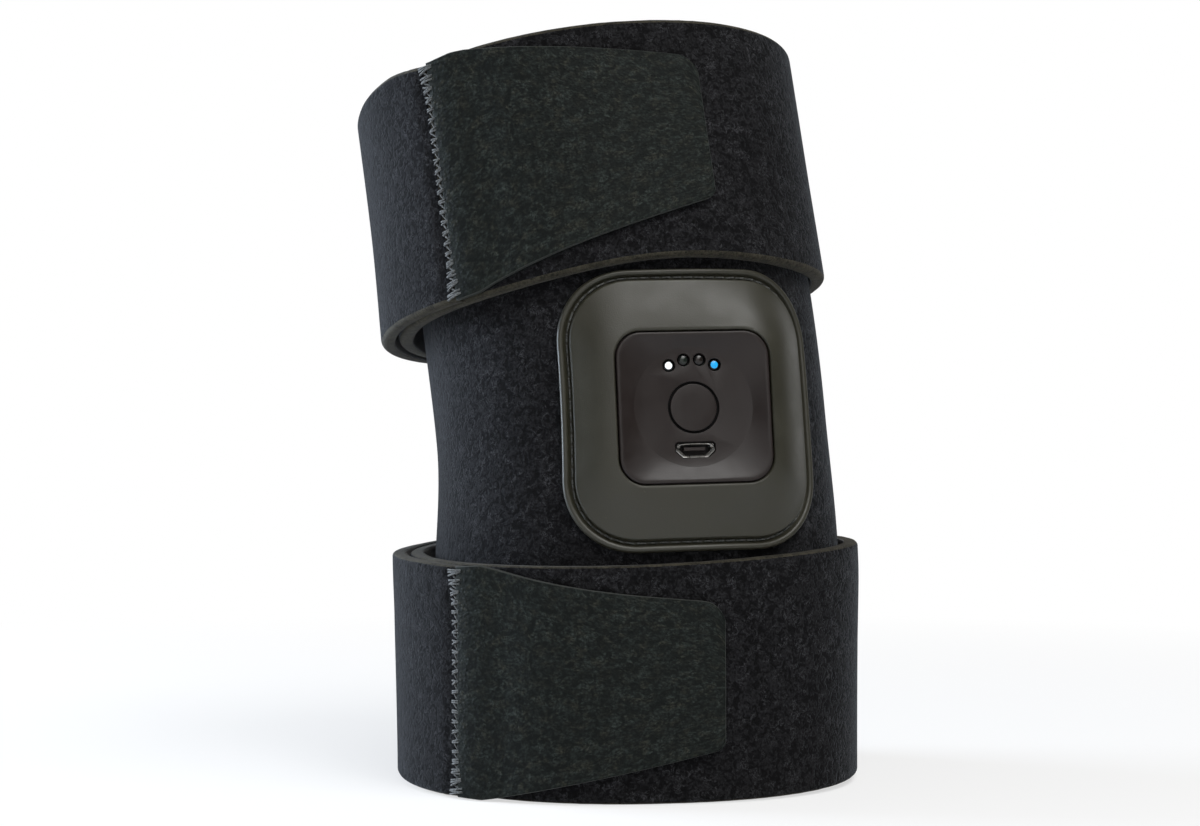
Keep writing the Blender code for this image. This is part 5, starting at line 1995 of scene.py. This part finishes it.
@dataclass
class SocketMouth:
    """The charging socket's mouth, flared below and at the sides, and its inside."""

    cover: FrontCover
    finish: Finish = Metal("socket_metal", "bright_metal", (0.40, 0.39, 0.37), 0.30)
    throat: float = 0.00046
    flare_depth: float = 0.00062
    wall: float = 0.00014
    foot: float = -0.0023
    recess: float = 0.00022
    inside: float = 0.0026
    overlap: float = 0.0002
    curl: float = 0.00050
    flare_power: float = 1.3
    top_flare: float = 0.40
    steps: int = 6

    @staticmethod
    def outline(grow: float) -> Ring:
        """The socket's outline, grown all round: wide above, chamfered below.

        Args:
            grow: How far the outline is grown.

        Returns:
            The outline's corners, from the top right one.
        """
        wide, tall, drop, chamfer, nick = 0.0090, 0.0033, 0.0099, 0.0017, 0.0006
        half = wide / 2 + grow
        top = tall / 2 + grow - drop
        bottom = -tall / 2 - grow - drop
        corners = (
            (half - nick, top), (-half + nick, top), (-half, top - nick),
            (-half, bottom + chamfer), (-half + chamfer, bottom),
            (half - chamfer, bottom), (half, bottom + chamfer), (half, top - nick))
        return [Vector(point) for point in corners]

    def dense(self, grow: float) -> Ring:
        """The outline with as many points along each of its edges."""
        corners = self.outline(grow)
        ring = []
        for first, last in zip(corners, corners[1:] + corners[:1]):
            ring += [first.lerp(last, step / self.steps) for step in range(self.steps)]
        return ring

    def spread(self) -> list[float]:
        """How far the mouth flares at each point, from 0 to 1."""
        ends = (0.0, 0.0, 0.15, 1.0, 1.0, 1.0, 1.0, 0.15)
        flare = []
        for index, (start, end) in enumerate(zip(ends, ends[1:] + ends[:1])):
            for step in range(self.steps):
                share = step / self.steps
                swell = min(1.0, 4 * share * (1 - share) * 1.3)
                bulge = self.top_flare * swell if index == 0 else 0.0
                flare.append(mix(start, end, share) + bulge)
        return flare

    def flared(self, share: float, out: float, height: float) -> Ring:
        """A ring of the mouth.

        Args:
            share: How far up the flare, from 0 to 1.
            out: How far outside the flare's own line.
            height: The ring's height.

        Returns:
            The ring.
        """
        inner, outer = self.dense(-self.throat + out), self.dense(out)
        line = [
            near.lerp(far, spread * share)
            for near, far, spread in zip(inner, outer, self.spread())]
        return raised(line, height)

    def mouth(self) -> Item:
        """Make the metal mouth as a closed band with a rounded lip."""
        top = self.cover.floor - self.recess
        deep = self.flare_depth
        spots = [(0, 0, self.foot), (0, 0, top - deep)]
        spots += [
            (share, 0, top - deep * (1 - share) ** self.flare_power)
            for share in (0.25, 0.5, 0.75, 1.0)]
        spots += [
            (1, self.wall * 0.5, top + 0.00006), (1, self.wall, top),
            (0.4, self.wall, top - deep * 0.8), (0, self.wall, self.foot)]
        rings = [self.flared(*spot) for spot in spots]
        data = loft("socket_mouth", rings, capped=False, sharp=50.0)
        return fitted(data, self.cover.leg, self.finish, "socket_shell")

    def curls(self) -> list[Item]:
        """Make the dimpled curls where the flared sides end, at the top corners."""
        top = self.cover.floor - self.recess
        size = self.curl
        dimple = ((0.0, -0.00030), (0.25, -0.00026), (0.45, -0.00006), (0.66, 0.00003),
                  (0.88, -0.00005), (1.0, -0.00022))
        profile = [(size * share, top + lift) for share, lift in dimple]
        profile += [(size, self.foot), (0.0, self.foot)]
        corner = self.outline(0)[7]
        made = []
        for side, label in ((-1, "left"), (1, "right")):
            place = Vector((side * (corner.x - size * 1.05), corner.y - size * 0.15))
            data = turned_mesh("socket_curl_" + label, profile, 24, place, 60)
            made.append(fitted(data, self.cover.leg, self.finish))
        return made

    def insert(self, name: str, grow: float, depth: float) -> Item:
        """A dark moulding that closes the mouth's inside or the gap round it.

        Args:
            name: The piece's name.
            grow: How far its outline is grown from the socket's.
            depth: How deep its face lies under the dish's floor.

        Returns:
            The piece.
        """
        high = self.cover.floor - depth
        rings = [raised(self.dense(grow), height) for height in (self.foot, high)]
        if grow > 0:
            inner = self.dense(-self.overlap)
            rings += [raised(inner, height) for height in (high, self.foot)]
        data = loft(name, rings, capped=grow <= 0, sharp=35.0)
        finish = Moulding(
            "socket_moulding", "inner_plastic", (0.0075, 0.0058, 0.0054), rough=0.6,
            gloss=0.2)
        return fitted(data, self.cover.leg, finish)

    def build(self) -> list[Item]:
        """Make the mouth, its curls and its inside."""
        inside = self.insert("socket_insert", -self.throat * 0.98, self.inside)
        collar = self.insert("socket_collar", 0.00032, 0.0010)
        return [self.mouth(), *self.curls(), inside, collar]


# What stays from the frame, and the studio.


class NodeDresser:
    """Gives each carried-over node the finish of its record's slot."""

    def __init__(self, frame: dict) -> None:
        """Keep the frame and name a finish for each slot."""
        self.frame = frame
        finishes = (
            Velour(), HookTape(), Knit(), Silicone(), Moulding(), Metal(),
            BoardLacquer(),
            Moulding(
                "inner_plastic", "inner_plastic", (0.022, 0.0165, 0.0150), rough=0.5),
            Moulding("pale_plastic", "pale_plastic", (0.62, 0.63, 0.62), rough=0.4),
            Metal("dull_steel", "dull_steel", (0.50, 0.50, 0.50), 0.34),
            Metal("battery_foil", "battery_foil", (0.62, 0.63, 0.65), 0.40),
            Metal("weight_brass", "weight_brass", (0.66, 0.47, 0.22), 0.3),
            Silicone("lead_rubber", "lead_rubber", (0.014, 0.014, 0.015), 0.55),
            Light.WHITE.value, Light.DARK_LEFT.value, Light.BLUE.value)
        self.finishes = {finish.slot: finish for finish in finishes}

    def dress(self) -> int:
        """Dress every node that is still shown.

        Returns:
            How many nodes were dressed.
        """
        count = 0
        for row in self.frame["record"]["subparts"]:
            node = self.frame["nodes"][row["node"]]
            if node.hide_render:
                continue
            if not node.material_slots:
                node.data.materials.append(None)
            for slot in node.material_slots:
                slot.link = "OBJECT"
                slot.material = self.finishes[row["material_slot"]].material()
            count += 1
        return count


@dataclass
class Studio:
    """The pale floor, the soft lights and the camera."""

    eye: tuple[float, float, float] = (-0.11827, -0.60545, 0.08975)
    gaze: tuple[float, float, float] = (0.19081, 0.98163, 0.0)
    lens: float = 73.2
    sensor: float = 36.0
    floor_half: float = 3.0
    world_level: float = 0.105
    aim: tuple[float, float, float] = (0.0, 0.0, 0.09)

    def stand(self, item: Item, place: Sequence[float], way: Vector) -> None:
        """Stand a camera or a lamp at a place, facing a way."""
        item.location = place
        item.rotation_euler = way.to_track_quat("-Z", "Y").to_euler()
        bpy.context.scene.collection.objects.link(item)

    def seen(self, graph: Graph, behind: Port) -> Port:
        """1 for what the camera sees, and for the back where a surface mirrors it."""
        seen = graph.add("ShaderNodeLightPath", output="Is Camera Ray")
        for other in ("Is Glossy Ray", "Is Transmission Ray"):
            seen = seen.larger(graph.add("ShaderNodeLightPath", output=other) * behind)
        return seen

    def camera(self) -> None:
        """Set the camera where the photograph was taken from."""
        data = bpy.data.cameras.new("camera")
        data.lens = self.lens
        data.sensor_width = self.sensor
        data.sensor_fit = "HORIZONTAL"
        data.clip_start = 0.01
        data.clip_end = 20.0
        item = bpy.data.objects.new("camera", data)
        self.stand(item, self.eye, Vector(self.gaze))
        bpy.context.scene.camera = item

    def floor(self) -> None:
        """Lay a pale floor that keeps the wrap's shadow."""
        half = self.floor_half
        ways = ((-1, -1), (1, -1), (1, 1), (-1, 1))
        corners = [(side * half, back * half, 0) for side, back in ways]
        data = bpy.data.meshes.new("floor")
        data.from_pydata(corners, [], [(0, 1, 2, 3)])
        material = bpy.data.materials.new("floor")
        material.use_nodes = True
        graph = Graph(material.node_tree)
        graph.surface(
            Base_Color=(0.86, 0.86, 0.86), Roughness=0.9, Specular_IOR_Level=0.1)
        place = graph.place()
        back = graph.add("ShaderNodeSeparateXYZ", None, {0: place}, "Y")
        seen = self.seen(graph, graph.ramp(back, (0.2, 0.0), (0.8, 1.0)))
        glow = graph.add(
            "ShaderNodeEmission", None, {"Color": (1, 1, 1), "Strength": 1.0})
        base = Port(graph, graph.tree.nodes["Principled BSDF"].outputs[0])
        away = graph.add(
            "ShaderNodeVectorMath", {"operation": "LENGTH"}, {0: place}, "Value")
        white = graph.ramp(away / self.floor_half, (0.02, 0.62), (0.16, 1.0))
        mixed = graph.add(
            "ShaderNodeMixShader", None, {0: seen * white, 1: base, 2: glow})
        graph.feed(graph.tree.nodes["Material Output"].inputs["Surface"], mixed)
        data.materials.append(material)
        put_in_scene(data)

    def world(self) -> None:
        """Light softly from all round and show white behind."""
        world = bpy.data.worlds.new("studio")
        world.use_nodes = True
        bpy.context.scene.world = world
        graph = Graph(world.node_tree)
        graph.tree.nodes.clear()
        soft = graph.add("ShaderNodeBackground", None, {
            "Color": (0.97, 0.985, 1.0), "Strength": self.world_level})
        white = graph.add("ShaderNodeBackground", None, {"Color": (1, 1, 1)})
        way = graph.place("Generated")
        back = graph.add("ShaderNodeSeparateXYZ", None, {0: way}, "Y")
        behind = graph.add("ShaderNodeMapRange", None, {
            "Value": back, "From Min": 0.25, "From Max": 0.6})
        mixed = graph.add("ShaderNodeMixShader", None, {
            0: self.seen(graph, behind), 1: soft, 2: white})
        graph.node("ShaderNodeOutputWorld", None, {"Surface": mixed})

    def lamp(
        self, name: str, place: tuple[float, float, float], size: float, power: float,
        colour: Colour,
    ) -> None:
        """Hang a soft square lamp that faces the wrap.

        Args:
            name: The lamp's name.
            place: Where it hangs.
            size: Its side.
            power: Its power in watts.
            colour: Its colour.
        """
        data = bpy.data.lights.new(name, "AREA")
        data.shape = "SQUARE"
        data.size = size
        data.energy = power
        data.color = colour
        item = bpy.data.objects.new(name, data)
        self.stand(item, place, Vector(self.aim) - Vector(place))

    def build(self) -> None:
        """Set up floor, lights, world and camera, and the plain view."""
        self.camera()
        self.floor()
        self.world()
        self.lamp("key", (0.10, -0.70, 0.75), 0.50, 3.95, (1.0, 0.995, 0.98))
        self.lamp("over", (0.30, -0.45, 0.93), 0.50, 5.1, (1.0, 1.0, 0.99))
        self.lamp("fill", (-0.15, -1.10, 0.30), 0.80, 2.05, (1.0, 0.995, 0.99))
        self.lamp("left", (-0.95, 0.10, 0.30), 0.50, 1.5, (0.76, 0.86, 1.0))
        self.lamp("rim", (-0.85, 0.45, 0.30), 0.50, 17.0, (0.74, 0.85, 1.0))
        bpy.context.scene.view_settings.view_transform = "Standard"


def report(*items: Item) -> None:
    """Say how large each new piece is."""
    for item in items:
        count = sum(len(face.vertices) - 2 for face in item.data.polygons)
        LOG.info("%s: %d triangles", item.name, count)


def main() -> None:
    """Build and dress the wrap in order."""
    logging.basicConfig(level=logging.INFO, format="%(name)s %(message)s")
    for item in list(bpy.data.objects):
        bpy.data.objects.remove(item)
    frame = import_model()
    Studio().build()
    leg = Leg()
    for shape in (lower_cut(leg), upper_cut(leg)):
        tab = HookTab(shape)
        report(WoundStrap(shape).build(), tab.build(), TabSeam(shape, tab).build())
    report(WrapPanel(leg).build(), Lining(leg).build())
    bezel = Bezel(leg)
    report(bezel.build(), bezel.stitches())
    cover = FrontCover(leg)
    button = PowerButton(cover)
    report(cover.build(), button.build(), button.shade_ring())
    report(*SocketMouth(cover).build(), *LightRow(cover).build())
    LOG.info("%d carried-over nodes dressed", NodeDresser(frame).dress())


if __name__ == "__main__":
    main()
